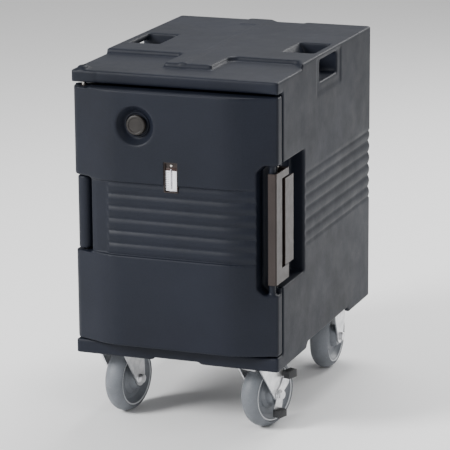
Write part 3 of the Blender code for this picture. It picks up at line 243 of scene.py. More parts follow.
def startMaterial(name, shaderSettings):
    material = bpy.data.materials.new(name)
    material.use_nodes = True
    tree = material.node_tree
    shader = tree.nodes["Principled BSDF"]
    for key, value in shaderSettings.items():
        shader.inputs[key].default_value = value
    place = addNode(tree, "ShaderNodeTexCoord").outputs["Object"]
    return material, tree, shader, place


def perMetre(millimetres):
    return 1000 / millimetres


mouldedSkin = {
    "ior": 1.5, "speckShare": 0.45, "darkAt": 0.50, "lightAt": 0.95, "rubFrom": 0.60, "rubTo": 0.78,
    "smoother": 0.05, "rougher": 0.07, "grainDepth": 0.0003, "peelDepth": 0.0012,
}


def moulded(name, s):
    # moulded plastic: slow colour drift, a grain in the skin and faint rubbed patches
    # the real grain is finer than a millimetre and is drawn as coarse as it needs to show
    k = mouldedSkin
    material, tree, shader, place = startMaterial(
        name, {"IOR": k["ior"], "Roughness": s["roughness"], "Specular IOR Level": s["specular"]}
    )
    noise = {}
    for key, detail, harsh in (
        ("drift", 3.0, 0.5), ("speck", 2.0, 0.5), ("rub", 6.0, 0.65), ("grain", 2.0, 0.5), ("peel", 1.0, 0.5)
    ):
        noise[key] = addNode(
            tree, "ShaderNodeTexNoise",
            {"Scale": perMetre(s[key + "Mm"]), "Detail": detail, "Roughness": harsh}, {"Vector": place},
        ).outputs["Fac"]
    blend = addNode(
        tree, "ShaderNodeMath", {"operation": "MULTIPLY_ADD", 1: k["speckShare"]},
        {0: noise["speck"], 2: noise["drift"]},
    )
    ramp = addNode(tree, "ShaderNodeValToRGB", {}, {"Fac": blend.outputs[0]})
    for element, spot, shade in zip(ramp.color_ramp.elements, ("darkAt", "lightAt"), ("dark", "light")):
        element.position = k[spot]
        element.color = linear(s[shade])
    rubMask = addNode(
        tree, "ShaderNodeMapRange",
        {"From Min": k["rubFrom"], "From Max": k["rubTo"], "To Min": 0.0, "To Max": s["rub"]},
        {"Value": noise["rub"]},
    )
    colour = addNode(
        tree, "ShaderNodeMix", {"data_type": "RGBA", 7: linear(s["rubbed"])},
        {0: rubMask.outputs[0], 6: ramp.outputs["Color"]},
    )
    rough = addNode(
        tree, "ShaderNodeMapRange",
        {"From Min": 0.3, "From Max": 0.7,
         "To Min": s["roughness"] - k["smoother"], "To Max": s["roughness"] + k["rougher"]},
        {"Value": noise["rub"]},
    )
    fine = addNode(
        tree, "ShaderNodeBump", {"Strength": s["grain"], "Distance": k["grainDepth"]},
        {"Height": noise["grain"]},
    )
    bump = addNode(
        tree, "ShaderNodeBump", {"Strength": s["peel"], "Distance": k["peelDepth"]},
        {"Height": noise["peel"], "Normal": fine.outputs["Normal"]},
    )
    tree.links.new(colour.outputs[2], shader.inputs["Base Color"])
    tree.links.new(rough.outputs[0], shader.inputs["Roughness"])
    tree.links.new(bump.outputs["Normal"], shader.inputs["Normal"])
    return material


platedSkin = {"darkAt": 0.30, "lightAt": 0.65, "smoother": 0.06, "rougher": 0.12, "lineDepth": 0.0002}


def plated(name, s):
    # bright plate or drawn steel: fine lines one way and broad patches of lighter and darker metal
    k = platedSkin
    material, tree, shader, place = startMaterial(name, {"Metallic": 1.0, "Roughness": s["roughness"]})
    stretch = addNode(tree, "ShaderNodeMapping", {"Scale": s["stretch"]}, {"Vector": place})
    lines = addNode(
        tree, "ShaderNodeTexNoise", {"Scale": perMetre(s["lineMm"]), "Detail": 3.0},
        {"Vector": stretch.outputs[0]},
    )
    patch = addNode(
        tree, "ShaderNodeTexNoise", {"Scale": perMetre(s["patchMm"]), "Detail": 4.0}, {"Vector": place}
    )
    ramp = addNode(tree, "ShaderNodeValToRGB", {}, {"Fac": patch.outputs["Fac"]})
    for element, spot, shade in zip(ramp.color_ramp.elements, ("darkAt", "lightAt"), ("dark", "light")):
        element.position = k[spot]
        element.color = linear(s[shade])
    rough = addNode(
        tree, "ShaderNodeMapRange",
        {"From Min": 0.3, "From Max": 0.7,
         "To Min": s["roughness"] - k["smoother"], "To Max": s["roughness"] + k["rougher"]},
        {"Value": lines.outputs["Fac"]},
    )
    bump = addNode(
        tree, "ShaderNodeBump", {"Strength": s["bump"], "Distance": k["lineDepth"]},
        {"Height": lines.outputs["Fac"]},
    )
    tree.links.new(ramp.outputs["Color"], shader.inputs["Base Color"])
    tree.links.new(rough.outputs[0], shader.inputs["Roughness"])
    tree.links.new(bump.outputs["Normal"], shader.inputs["Normal"])
    return material


scale = {
    "tickPitch": 0.004, "tickHeight": 0.0007, "tickLength": 0.008, "bandHeight": 0.006,
    "paper": "E9E8EE", "ink": "303038", "band": "2E1A15", "roughness": 0.35,
}


def printedCard(name, low, high):
    # a white card with a printed scale: plain ticks on the left and a dark band at the top
    s = scale
    material, tree, shader, place = startMaterial(name, {"Roughness": s["roughness"]})
    axes = addNode(tree, "ShaderNodeSeparateXYZ", {}, {"Vector": place})
    height = addNode(tree, "ShaderNodeMath", {"operation": "SUBTRACT", 1: low.z}, {0: axes.outputs["Z"]})
    phase = addNode(
        tree, "ShaderNodeMath", {"operation": "MODULO", 1: s["tickPitch"]}, {0: height.outputs[0]}
    )
    tick = addNode(
        tree, "ShaderNodeMath", {"operation": "LESS_THAN", 1: s["tickHeight"]}, {0: phase.outputs[0]}
    )
    sideMark = addNode(
        tree, "ShaderNodeMath", {"operation": "LESS_THAN", 1: low.x + s["tickLength"]},
        {0: axes.outputs["X"]},
    )
    mark = addNode(
        tree, "ShaderNodeMath", {"operation": "MULTIPLY"}, {0: tick.outputs[0], 1: sideMark.outputs[0]}
    )
    ink = addNode(
        tree, "ShaderNodeMix", {"data_type": "RGBA", 6: linear(s["paper"]), 7: linear(s["ink"])},
        {0: mark.outputs[0]},
    )
    hot = addNode(
        tree, "ShaderNodeMath", {"operation": "GREATER_THAN", 1: high.z - s["bandHeight"]},
        {0: axes.outputs["Z"]},
    )
    band = addNode(
        tree, "ShaderNodeMix", {"data_type": "RGBA", 7: linear(s["band"])},
        {0: hot.outputs[0], 6: ink.outputs[2]},
    )
    tree.links.new(band.outputs[2], shader.inputs["Base Color"])
    return material


# rotationally moulded polyethylene: blue-black and satin, with the faint orange peel of the mould
shellPlastic = moulded("rotomouldedPolyethylene", {
    "dark": "10141D", "light": "181C27", "rubbed": "2A2F3B", "rub": 0.08, "rubMm": 60,
    "driftMm": 220, "speckMm": 3.5, "roughness": 0.50, "specular": 0.20,
    "grainMm": 1.1, "grain": 0.22, "peelMm": 9, "peel": 0.10,
})
# smoother, greyer polyethylene inside: a soft sheen that shows the rails
linerPlastic = moulded("smoothLinerPolyethylene", {
    "dark": "1C1E22", "light": "26282D", "rubbed": "3A3C42", "rub": 0.15, "rubMm": 40,
    "driftMm": 160, "speckMm": 3, "roughness": 0.38, "specular": 0.30,
    "grainMm": 1.2, "grain": 0.12, "peelMm": 14, "peel": 0.08,
})
# injection moulded nylon: dark brown, glossier than the shell and paler where hands rub it
nylon = moulded("brownMouldedNylon", {
    "dark": "221917", "light": "2E2421", "rubbed": "4B3D38", "rub": 0.30, "rubMm": 18,
    "driftMm": 60, "speckMm": 1.5, "roughness": 0.34, "specular": 0.35,
    "grainMm": 0.8, "grain": 0.12, "peelMm": 5, "peel": 0.05,
})
# moulded polypropylene cap: grey-brown with a fine matt texture
ventPlastic = moulded("greyMouldedPolypropylene", {
    "dark": "1E1C1A", "light": "2A2725", "rubbed": "46423E", "rub": 0.30, "rubMm": 8,
    "driftMm": 20, "speckMm": 1.2, "roughness": 0.45, "specular": 0.30,
    "grainMm": 0.9, "grain": 0.25, "peelMm": 4, "peel": 0.05,
})
# cast polyurethane tread: mid grey and matt, scuffed paler in patches
treadRubber = moulded("castGreyPolyurethane", {
    "dark": "5E6267", "light": "72767C", "rubbed": "888B90", "rub": 0.45, "rubMm": 14,
    "driftMm": 50, "speckMm": 2, "roughness": 0.52, "specular": 0.40,
    "grainMm": 0.9, "grain": 0.25, "peelMm": 5, "peel": 0.08,
})
# moulded polypropylene wheel: a lighter, smoother grey than the tread round it
corePlastic = moulded("greyWheelPolypropylene", {
    "dark": "666A70", "light": "787C82", "rubbed": "93979C", "rub": 0.35, "rubMm": 12,
    "driftMm": 40, "speckMm": 2, "roughness": 0.40, "specular": 0.45,
    "grainMm": 0.9, "grain": 0.15, "peelMm": 6, "peel": 0.06,
})
# polypropylene rim painted pale: the bright thin ring on each side of a wheel is a painted highlight on the
# rim's edge
rimHighlightPlastic = moulded("paintedHighlightWheelRim", {
    "dark": "BCBFC3", "light": "D2D4D7", "rubbed": "E0E1E3", "rub": 0.35, "rubMm": 10,
    "driftMm": 30, "speckMm": 2, "roughness": 0.36, "specular": 0.45,
    "grainMm": 0.9, "grain": 0.10, "peelMm": 6, "peel": 0.05,
})
# moulded vinyl brake pads: black, scuffed grey on the grooved edges
padPlastic = moulded("blackPedalPlastic", {
    "dark": "1C1D1F", "light": "2C2D30", "rubbed": "55565A", "rub": 0.40, "rubMm": 6,
    "driftMm": 20, "speckMm": 1, "roughness": 0.50, "specular": 0.40,
    "grainMm": 0.7, "grain": 0.30, "peelMm": 3, "peel": 0.05,
})
# moulded silicone: black and dull, with hardly a highlight
sealRubber = moulded("blackSiliconeSeal", {
    "dark": "141516", "light": "222325", "rubbed": "3A3B3D", "rub": 0.30, "rubMm": 12,
    "driftMm": 40, "speckMm": 1.5, "roughness": 0.62, "specular": 0.30,
    "grainMm": 0.8, "grain": 0.25, "peelMm": 4, "peel": 0.06,
})
# foamed polyurethane filling: straw coloured, chalky and pitted, seen only when the shells are off
foamPlastic = moulded("polyurethaneFoam", {
    "dark": "C9B483", "light": "DDCB9C", "rubbed": "E8DAB2", "rub": 0.50, "rubMm": 10,
    "driftMm": 40, "speckMm": 2, "roughness": 0.85, "specular": 0.30,
    "grainMm": 1.5, "grain": 0.80, "peelMm": 6, "peel": 0.40,
})
# drawn glass tube: pale and shiny over the white card behind it
tubeGlass = moulded("clearTubeGlass", {
    "dark": "B4B2BA", "light": "CAC8D0", "rubbed": "DDDCE2", "rub": 0.20, "rubMm": 5,
    "driftMm": 10, "speckMm": 1, "roughness": 0.12, "specular": 0.50,
    "grainMm": 0.5, "grain": 0.02, "peelMm": 3, "peel": 0.02,
})
# zinc plate on pressed steel: bright, white and slightly cloudy
zincPlate = plated("brightZincPlate", {
    "dark": "CDCED1", "light": "F2F2F3", "roughness": 0.34, "lineMm": 3, "patchMm": 16,
    "stretch": (1, 1, 0.25), "bump": 0.12,
})
# drawn stainless rod: warm grey with fine lines along its length
drawnSteel = plated("drawnStainlessSteel", {
    "dark": "A9A49F", "light": "CFCBC6", "roughness": 0.22, "lineMm": 2, "patchMm": 25,
    "stretch": (1, 1, 0.06), "bump": 0.10,
})
print("materials ready")

# shared places, read from the frame
shellLow, shellHigh = corners("cabinet_shell")
doorLow, doorHigh = corners("door_shell")
doorRear = corners("door_gasket")[0].y - gap  # the back of the door's skin
faceY = corners("door_gasket")[1].y + gap  # the face of the cabinet that the gasket meets
hingeLow, hingeHigh = corners("hinge_rod")
hinge = (hingeLow + hingeHigh) / 2
lidFront = shellLow.y
left = shellLow.x
right = shellHigh.x
past = 0.02  # how far a cutter runs beyond the faces it opens
grooveSharpness = 0.8  # below 1 the grooves are narrower than the ribs


def bandDepth(z, low, high, ribs):
    # 0 on the crown of each rib and 1 in the grooves between them
    if z <= low or z >= high:
        return 0.0
    return 1 - abs(math.sin(math.pi * ribs * (z - low) / (high - low))) ** grooveSharpness


def ease(value, start, end):
    t = min(1, max(0, (value - start) / (end - start)))
    return t * t * (3 - 2 * t)


cabinet = {
    "lipGap": 0.0035, "lidGap": 0.006, "ledgeDrop": 0.013, "ledgeDepth": 0.195,
    "blockLeft": -0.052, "blockRight": 0.055, "blockDepth": 0.113, "ledgeChamfer": 0.010,
    "ledgeCorner": ((0.006, 0.034), (0.020, 0.004), (0.030, 0.0)),  # in from the side, forward
    "blockCorner": (0.014, 0.016), "centreLap": 0.001,
    "skirtWall": 0.012, "skirtDepth": 0.0275, "sideNotchStart": 0.190, "sideNotchLength": 0.300,
    "sideNotchHeight": 0.013, "sideNotchLift": 0.004, "sideNotchSlope": 0.010,
    "frontNotchHeight": 0.0055, "frontNotchDepth": 0.03, "frontNotch": (-0.054, 0.054),
    "gripStart": 0.280, "gripLength": 0.120, "gripDepth": 0.072, "gripBar": 0.017,
    "gripBarDrop": 0.018, "gripHeight": 0.047, "gripRampDrop": 0.004, "gripRampRun": 0.030,
    "gripFrameDepth": 0.0022, "gripFrameSpan": (0.255, 0.425), "gripFrameDrop": (0.090, 0.010),
    "gripTopDepth": 0.0018, "gripTopSpan": (0.262, 0.418), "gripTopInset": (0.105, 0.012),
    "latchLow": 0.180, "latchHigh": 0.450, "latchLength": 0.137, "latchDepth": 0.036,
    "ribLow": 0.236, "ribHigh": 0.398, "ribs": 6, "ribDepth": 0.0032, "ribStart": 0.170,
    "ribRightShift": 0.004, "ribLeftShift": -0.060, "ribRunOut": 0.014,
    "ribSkin": (0.010, 0.004),  # the ribs fade in between these depths of the wall
    "knuckleLow": 0.236, "knuckleHigh": 0.396, "knuckleRadius": 0.017, "webHalf": 0.014,
    "webDepth": 0.030, "noseRadius": 0.0236, "noseArc": (-60, 75), "reliefLength": 0.057,
    "reliefFront": 0.03, "bossSink": 0.004, "bossRise": 0.0075, "bossRadius": 0.0122,
    "topRib": (-0.016, -0.004), "topDrop": 0.0022, "rearBlock": 0.075, "rearLeft": -0.058,
    "planeLap": 0.01, "rearNotch": (0.004, 0.078), "rearNotchDepth": 0.067,
    "rearNotchDrop": 0.0046, "lidSeam": (0.056, 0.0605), "lidSeamDepth": 0.0040,
    "hingeBore": 0.0054, "latchBore": 0.0034, "tubEase": 0.0006, "tubMouth": 0.03,
    "voxel": 0.0034, "passes": 4, "keep": 0.22,
}


def gripHollow(side):
    c = cabinet
    inner = right - c["gripBar"] - c["gripDepth"]
    bar = right - c["gripBar"]
    under = shellHigh.z - c["gripBarDrop"]
    floor = under - c["gripHeight"]
    ramp = [(inner, shellHigh.z - c["gripRampDrop"]), (inner + c["gripRampRun"], floor)]
    outline = [(inner, shellHigh.z + past)] + ramp + [
        (right + past, floor), (right + past, under), (bar, under), (bar, shellHigh.z + past),
    ]
    return addPrism(
        "gripCutter", [(side * x, z) for x, z in outline], lidFront + c["gripStart"],
        lidFront + c["gripStart"] + c["gripLength"], lay="Y",
    )


def cutGrips(body):
    # each hollow has a shallow frame sunk round it, on the side and on the top
    c = cabinet
    for side in (-1, 1):
        combine(body, gripHollow(side))
        frameOuter = right + past / 2
        frameInner = right - c["gripFrameDepth"]
        panel = addBlock(
            "gripFrame",
            (min(side * frameInner, side * frameOuter), lidFront + c["gripFrameSpan"][0],
             shellHigh.z - c["gripFrameDrop"][0]),
            (max(side * frameInner, side * frameOuter), lidFront + c["gripFrameSpan"][1],
             shellHigh.z - c["gripFrameDrop"][1]),
        )
        topEdges = [side * (right - inset) for inset in c["gripTopInset"]]
        topPanel = addBlock(
            "gripTopFrame",
            (min(topEdges), lidFront + c["gripTopSpan"][0], shellHigh.z - c["gripTopDepth"]),
            (max(topEdges), lidFront + c["gripTopSpan"][1], shellHigh.z + past),
        )
        combine(body, panel, topPanel)


def cutTop(body, blockFront, ledgeBack):
    # the top is planed down a little on each side of the rib that runs back to the raised rear block
    c = cabinet
    ribLeft, ribRight = c["topRib"]
    rearFront = shellHigh.y - c["rearBlock"]
    plane = shellHigh.z - c["topDrop"]
    planeBack = shellHigh.y + past
    planeLeft = addPrism(
        "planeLeft",
        [(left - past, ledgeBack - c["planeLap"]), (c["blockLeft"], ledgeBack - c["planeLap"]),
         (c["blockLeft"], blockFront - c["planeLap"]), (ribLeft, blockFront - c["planeLap"]),
         (ribLeft, rearFront), (c["rearLeft"], rearFront), (c["rearLeft"], planeBack),
         (left - past, planeBack)],
        plane, shellHigh.z + past,
    )
    planeRight = addPrism(
        "planeRight",
        [(ribRight, blockFront - c["planeLap"]), (right + past, blockFront - c["planeLap"]),
         (right + past, planeBack), (ribRight, planeBack)],
        plane, shellHigh.z + past,
    )
    rearNotch = addBlock(
        "rearNotch",
        (c["rearNotch"][0], shellHigh.y - c["rearNotchDepth"], shellHigh.z - c["rearNotchDrop"]),
        (c["rearNotch"][1], planeBack, shellHigh.z + past),
    )
    lidSeam = addBlock(
        "lidSeam", (left + c["lidSeam"][0], lidFront - past, doorHigh.z),
        (left + c["lidSeam"][1], lidFront + c["lidSeamDepth"], shellHigh.z + past),
    )
    combine(body, planeLeft, planeRight, rearNotch, lidSeam)


def pressCabinetRibs(body):
    # the ribs run round both sides and the back, sunk into the wall between their crowns
    c = cabinet
    deepEnd, shallowEnd = c["ribSkin"]
    ribLow = shellLow.z + c["ribLow"]
    ribHigh = shellLow.z + c["ribHigh"]
    for vertex in body.data.vertices:
        at = vertex.co
        deep = bandDepth(at.z, ribLow, ribHigh, c["ribs"])
        if deep == 0:
            continue
        start = lidFront + c["ribStart"] + (c["ribRightShift"] if at.x > 0 else c["ribLeftShift"])
        along = ease(at.y, start, start + c["ribRunOut"])
        if abs(at.x) > right - deepEnd and along > 0:
            fade = ease(abs(at.x), right - deepEnd, right - shallowEnd)
            at.x -= math.copysign(deep * c["ribDepth"] * along * fade, at.x)
        if at.y > shellHigh.y - deepEnd:
            at.y -= deep * c["ribDepth"] * ease(at.y, shellHigh.y - deepEnd, shellHigh.y - shallowEnd)


def buildCabinet():
    c = cabinet
    base = shellLow.z
    ledge = shellHigh.z - c["ledgeDrop"]
    lipTop = doorLow.z - c["lipGap"]
    lidUnder = doorHigh.z + c["lidGap"]
    body = addBlock("cabinetBody", shellLow, shellHigh)
    doorSpace = addBlock(
        "doorSpace", (left - past, lidFront - past, lipTop), (right + past, faceY, lidUnder)
    )
    blockFront = lidFront + c["ledgeDepth"] - c["blockDepth"]
    ledgeBack = lidFront + c["ledgeDepth"]
    ledgeLeft = addPrism(
        "ledgeLeft",
        [(left - past, lidFront - past), (0.0, lidFront - past), (0.0, blockFront),
         (c["blockLeft"], blockFront), (c["blockLeft"], ledgeBack - c["ledgeChamfer"]),
         (c["blockLeft"] - c["ledgeChamfer"], ledgeBack), (left - past, ledgeBack)],
        ledge, shellHigh.z + past,
    )
    ledgeRight = addPrism(
        "ledgeRight",
        [(-c["centreLap"], lidFront - past), (right + past, lidFront - past),
         (right + past, ledgeBack - c["ledgeCorner"][0][1])]
        + [(right - inward, ledgeBack - forward) for inward, forward in c["ledgeCorner"]]
        + [(c["blockRight"] + c["blockCorner"][0], ledgeBack),
           (c["blockRight"], ledgeBack - c["blockCorner"][1]), (c["blockRight"], blockFront),
           (-c["centreLap"], blockFront)],
        ledge, shellHigh.z + past,
    )
    nose = arc(hinge, c["noseRadius"], *c["noseArc"], 14)
    reliefBack = hinge.y + c["reliefLength"]
    relief = addPrism(
        "relief",
        [(left - past, hinge.y - c["reliefFront"])] + nose + [(left, reliefBack), (left - past, reliefBack)],
        lipTop, lidUnder,
    )
    combine(body, doorSpace, ledgeLeft, ledgeRight, relief)
    knuckleLow = base + c["knuckleLow"]
    knuckleHigh = base + c["knuckleHigh"]
    knuckle = addBar(
        "knuckle", (hinge.x, hinge.y, knuckleLow), (hinge.x, hinge.y, knuckleHigh),
        c["knuckleRadius"], 48,
    )
    web = addBlock(
        "web", (hinge.x - c["webHalf"], hinge.y, knuckleLow),
        (hinge.x + c["webHalf"], faceY + c["webDepth"], knuckleHigh),
    )
    boss = addBar(
        "boss", (hinge.x, hinge.y, ledge - c["bossSink"]), (hinge.x, hinge.y, ledge + c["bossRise"]),
        c["bossRadius"], 40,
    )
    combine(body, knuckle, web, boss, how="UNION")
    cutGrips(body)

    latchPocket = addBlock(
        "latchPocket", (right - c["latchDepth"], faceY - past, base + c["latchLow"]),
        (right + past, faceY + c["latchLength"], base + c["latchHigh"]),
    )
    underside = addBlock(
        "underside",
        (left + c["skirtWall"], lidFront + c["skirtWall"], base - past),
        (right - c["skirtWall"], shellHigh.y - c["skirtWall"], base + c["skirtDepth"]),
    )
    notchStart = lidFront + c["sideNotchStart"]
    notchEnd = notchStart + c["sideNotchLength"]
    sideNotch = addPrism(
        "sideNotch",
        [(notchStart, base - past), (notchStart, base + c["sideNotchLift"]),
         (notchStart + c["sideNotchSlope"], base + c["sideNotchHeight"]),
         (notchEnd - c["sideNotchSlope"], base + c["sideNotchHeight"]),
         (notchEnd, base + c["sideNotchLift"]), (notchEnd, base - past)],
        left - past, right + past, lay="X",
    )
    frontNotch = addBlock(
        "frontNotch", (c["frontNotch"][0], lidFront - past, base - past),
        (c["frontNotch"][1], lidFront + c["frontNotchDepth"], base + c["frontNotchHeight"]),
    )
    combine(body, latchPocket, underside, sideNotch, frontNotch)
    cutTop(body, blockFront, ledgeBack)
    print("cabinet cut to shape")

    softened(body, c["voxel"], c["passes"])
    pressCabinetRibs(body)
    thinned(body, c["keep"])

    # the hollow for the foam and the tub is cut last, so the remesh can't round it off
    linerLow, linerHigh = corners("cabinet_liner")
    spare = Vector((c["tubEase"],) * 3)
    tubSpace = addBlock("tubSpace", linerLow - spare - Vector((0, c["tubMouth"], 0)), linerHigh + spare)
    combine(body, tubSpace, copyNode("cabinet_foam", "foamSpace"))
    rodLow, rodHigh = corners("latch_rod")
    rod = (rodLow + rodHigh) / 2
    for name, at, radius, low, high in (
        ("hingeBore", hinge, c["hingeBore"], hingeLow.z - 0.001, shellHigh.z + past),
        ("latchBore", rod, c["latchBore"], rodLow.z - 0.0005, rodHigh.z + 0.0005),
    ):
        combine(body, addBar(name, (at.x, at.y, low), (at.x, at.y, high), radius, 32))
    finish(body, "cabinet", "shell", shellPlastic, "cabinet_shell")
    print("cabinet finished", len(body.data.polygons))


door = {
    "flatHalf": 0.143, "bend": 0.030, "corner": 0.0055, "nose": 0.0218, "bandLow": 0.236,
    "bandHigh": 0.397, "bandDepth": 0.0078, "bandLeft": 0.046, "bandMargin": 0.012,
    "knuckleEase": (0.003, 0.002), "ribs": 6, "ribRise": 0.0046, "ribLeft": 0.084,
    "ribRight": 0.428, "ribRunIn": 0.008, "ribRunOut": 0.01, "ribEdge": 0.003,
    "ribReach": 0.02, "ribSkin": 0.004,
    "edgeLow": 0.170, "edgeHigh": 0.450, "edgeWidth": 0.043, "edgeChamfer": 0.014,
    "edgeFloor": 0.007, "keeperInset": 0.015, "keeperDepth": 0.008, "keeperRadius": 0.0075,
    "keeperSink": 0.004, "passageLow": 0.180, "passageDepth": 0.03, "stepWidth": 0.044,
    "stepDrop": 0.003, "stepBack": 0.012, "rearChamfer": 0.005, "ventX": -0.076, "ventZ": 0.521,
    "dishRadius": 0.043, "dishFloor": 0.031, "dishDepth": 0.018, "panelSink": 0.0044,
    "stemBore": 0.006, "stemLength": 0.06, "voxel": 0.0025, "passes": 5, "keep": 0.30,
}


def doorOutline(inset=0.0):
    d = door
    front = doorLow.y + inset
    rear = doorRear
    flatLeft = (-d["flatHalf"], front)
    flatRight = (d["flatHalf"], front)
    reach = Vector(flatLeft) - hinge.xy
    touch = math.degrees(math.atan2(reach.y, reach.x) - math.acos(d["nose"] / reach.length))
    rise = math.degrees(math.asin((rear - hinge.y) / d["nose"]))
    nose = arc(hinge, d["nose"], 180 - rise, 360 + touch, 18)
    cornerPoints = arc((right - d["corner"], lidFront + d["corner"]), d["corner"], -90, 0, 4)
    return (
        nose + bow(nose[-1], flatLeft, flatRight, d["bend"])
        + bow(flatLeft, flatRight, cornerPoints[0], d["bend"]) + cornerPoints + [(right, rear)]
    )


def pressDoorRibs(skin, bandLow, bandHigh, edgeLeft):
    # the ribs stand up from the sunk band, and die away at both ends
    d = door
    ribLeft = left + d["ribLeft"]
    ribRight = left + d["ribRight"]
    for vertex in skin.data.vertices:
        at = vertex.co
        onFront = at.y < lidFront + d["ribSkin"] and ribLeft - d["ribReach"] < at.x < edgeLeft + 0.001
        if bandLow < at.z < bandHigh and onFront:
            crown = 1 - bandDepth(at.z, bandLow, bandHigh, d["ribs"])
            ends = ease(at.x, ribLeft, ribLeft + d["ribRunIn"])
            ends *= 1 - ease(at.x, ribRight, ribRight + d["ribRunOut"])
            edges = ease(at.z, bandLow, bandLow + d["ribEdge"])
            edges *= 1 - ease(at.z, bandHigh - d["ribEdge"], bandHigh)
            at.y -= d["ribRise"] * crown * ends * edges


def buildDoor():
    d = door
    base = shellLow.z
    front = doorLow.y
    bandLow = base + d["bandLow"]
    bandHigh = base + d["bandHigh"]
    bandRight = right - d["bandMargin"]
    skin = addPrism("doorSkin", doorOutline(), doorLow.z, doorHigh.z)
    knuckleNotch = addBlock(
        "knuckleNotch", (left - past, front - past, bandLow - d["knuckleEase"][0]),
        (left + d["bandLeft"], doorRear + past, bandHigh + d["knuckleEase"][1]),
    )
    bandFront = [
        point for point in doorOutline(d["bandDepth"])
        if point[1] < lidFront and left + 0.03 < point[0] < bandRight
    ]
    band = addPrism(
        "band",
        [(left + past, lidFront + 0.002)] + bandFront
        + [(bandRight, lidFront + 0.001), (bandRight, front - past), (left + past, front - past)],
        bandLow, bandHigh,
    )
    edgeLeft = right - d["edgeWidth"]
    low = base + d["edgeLow"]
    high = base + d["edgeHigh"]
    chamfer = d["edgeChamfer"]
    edge = addPrism(
        "edgeRecess",
        [(right + past, low), (right + past, high), (edgeLeft + chamfer, high),
         (edgeLeft, high - chamfer), (edgeLeft, low + chamfer), (edgeLeft + chamfer, low)],
        front - past, doorRear - d["edgeFloor"], lay="Y",
    )
    keeperX = right - d["keeperInset"]
    passage = addBlock(
        "hookPassage", (keeperX + 0.003, doorRear - d["passageDepth"], base + d["passageLow"]),
        (right + past, doorRear + past, high - 0.005),
    )
    topStep = addBlock(
        "topStep", (left - past, front - past, doorHigh.z - d["stepDrop"]),
        (left + d["stepWidth"], doorRear - d["stepBack"], doorHigh.z + past),
    )
    rearChamfer = addPrism(
        "rearChamfer",
        [(right - d["rearChamfer"], doorRear + 0.001), (right + 0.001, doorRear - d["rearChamfer"]),
         (right + 0.001, doorRear + 0.001)],
        doorLow.z - 0.01, doorHigh.z + 0.01,
    )
    combine(skin, knuckleNotch, band, edge, passage, topStep, rearChamfer)
    keeperY = lidFront + d["keeperDepth"]
    keeper = addBar(
        "keeper", (keeperX, keeperY, low - d["keeperSink"]), (keeperX, keeperY, high + d["keeperSink"]),
        d["keeperRadius"], 32,
    )
    combine(skin, keeper, how="UNION")
    ventAt = (d["ventX"], front, base + d["ventZ"])
    rim = d["dishRadius"]
    dish = addTurned(
        "dish",
        [(rim + 0.004, past), (rim + 0.004, 0.0035), (rim, 0.0005), (rim - 0.002, -0.003),
         (d["dishFloor"] + 0.001, -d["dishDepth"] + 0.003), (d["dishFloor"] - 0.002, -d["dishDepth"]),
         (0, -d["dishDepth"]), (0, past)],
        64, ventAt, (0, -1, 0),
    )
    combine(skin, dish)
    softened(skin, d["voxel"], d["passes"])
    pressDoorRibs(skin, bandLow, bandHigh, edgeLeft)
    thinned(skin, d["keep"])

    # what other pieces fit into is cut last, so it stays crisp
    housingLow, housingHigh = corners("thermometer_housing")
    slot = addBlock(
        "gaugeSlot", (housingLow.x - gap, front - past, housingLow.z - gap),
        (housingHigh.x + gap, housingHigh.y + gap, housingHigh.z + gap),
    )
    linerLow, linerHigh = corners("door_liner")
    panelSpace = addBlock(
        "panelSpace", (linerLow.x - gap, doorRear - d["panelSink"], linerLow.z - gap),
        (linerHigh.x + gap, doorRear + past, linerHigh.z + gap),
    )
    combine(skin, slot, panelSpace, copyNode("door_foam", "doorFoamSpace"))
    bushLow, bushHigh = corners("hinge_bush_upper")
    bushRadius = (bushHigh.x - bushLow.x) / 2 + gap
    bore = addBar("bore", (hinge.x, hinge.y, base), (hinge.x, hinge.y, shellHigh.z), bushRadius, 40)
    stemEnd = (ventAt[0], doorRear + d["stemLength"], ventAt[2])
    combine(skin, bore, addBar("stemBore", ventAt, stemEnd, d["stemBore"], 32))
    finish(skin, "door", "shell", shellPlastic, "door_shell")
    print("door finished", len(skin.data.polygons))


def dress(node, name, body, slotName, material, width, segments=2, degrees=32):
    # a CAD solid whose shape is right: its edges are broken as the real tool leaves them
    piece = copyNode(node, name)
    rounded(piece, width, segments, degrees)
    modify(piece, "WEIGHTED_NORMAL", weight=100, keep_sharp=True)  # wide flats stay flat round their holes
    return finish(piece, body, slotName, material, node)


vent = {
    "capSteps": 72, "capFace": 0.0016, "stemRadius": 0.005, "stemTaper": 0.0042, "stemLength": 0.040,
    "sealBore": 0.0072, "sealEdge": 0.0006, "collarInner": 0.0245, "collarOuter": 0.0275,
    "collarRise": 0.0030, "collarEdge": 0.0007, "collarStep": 0.0008,
}


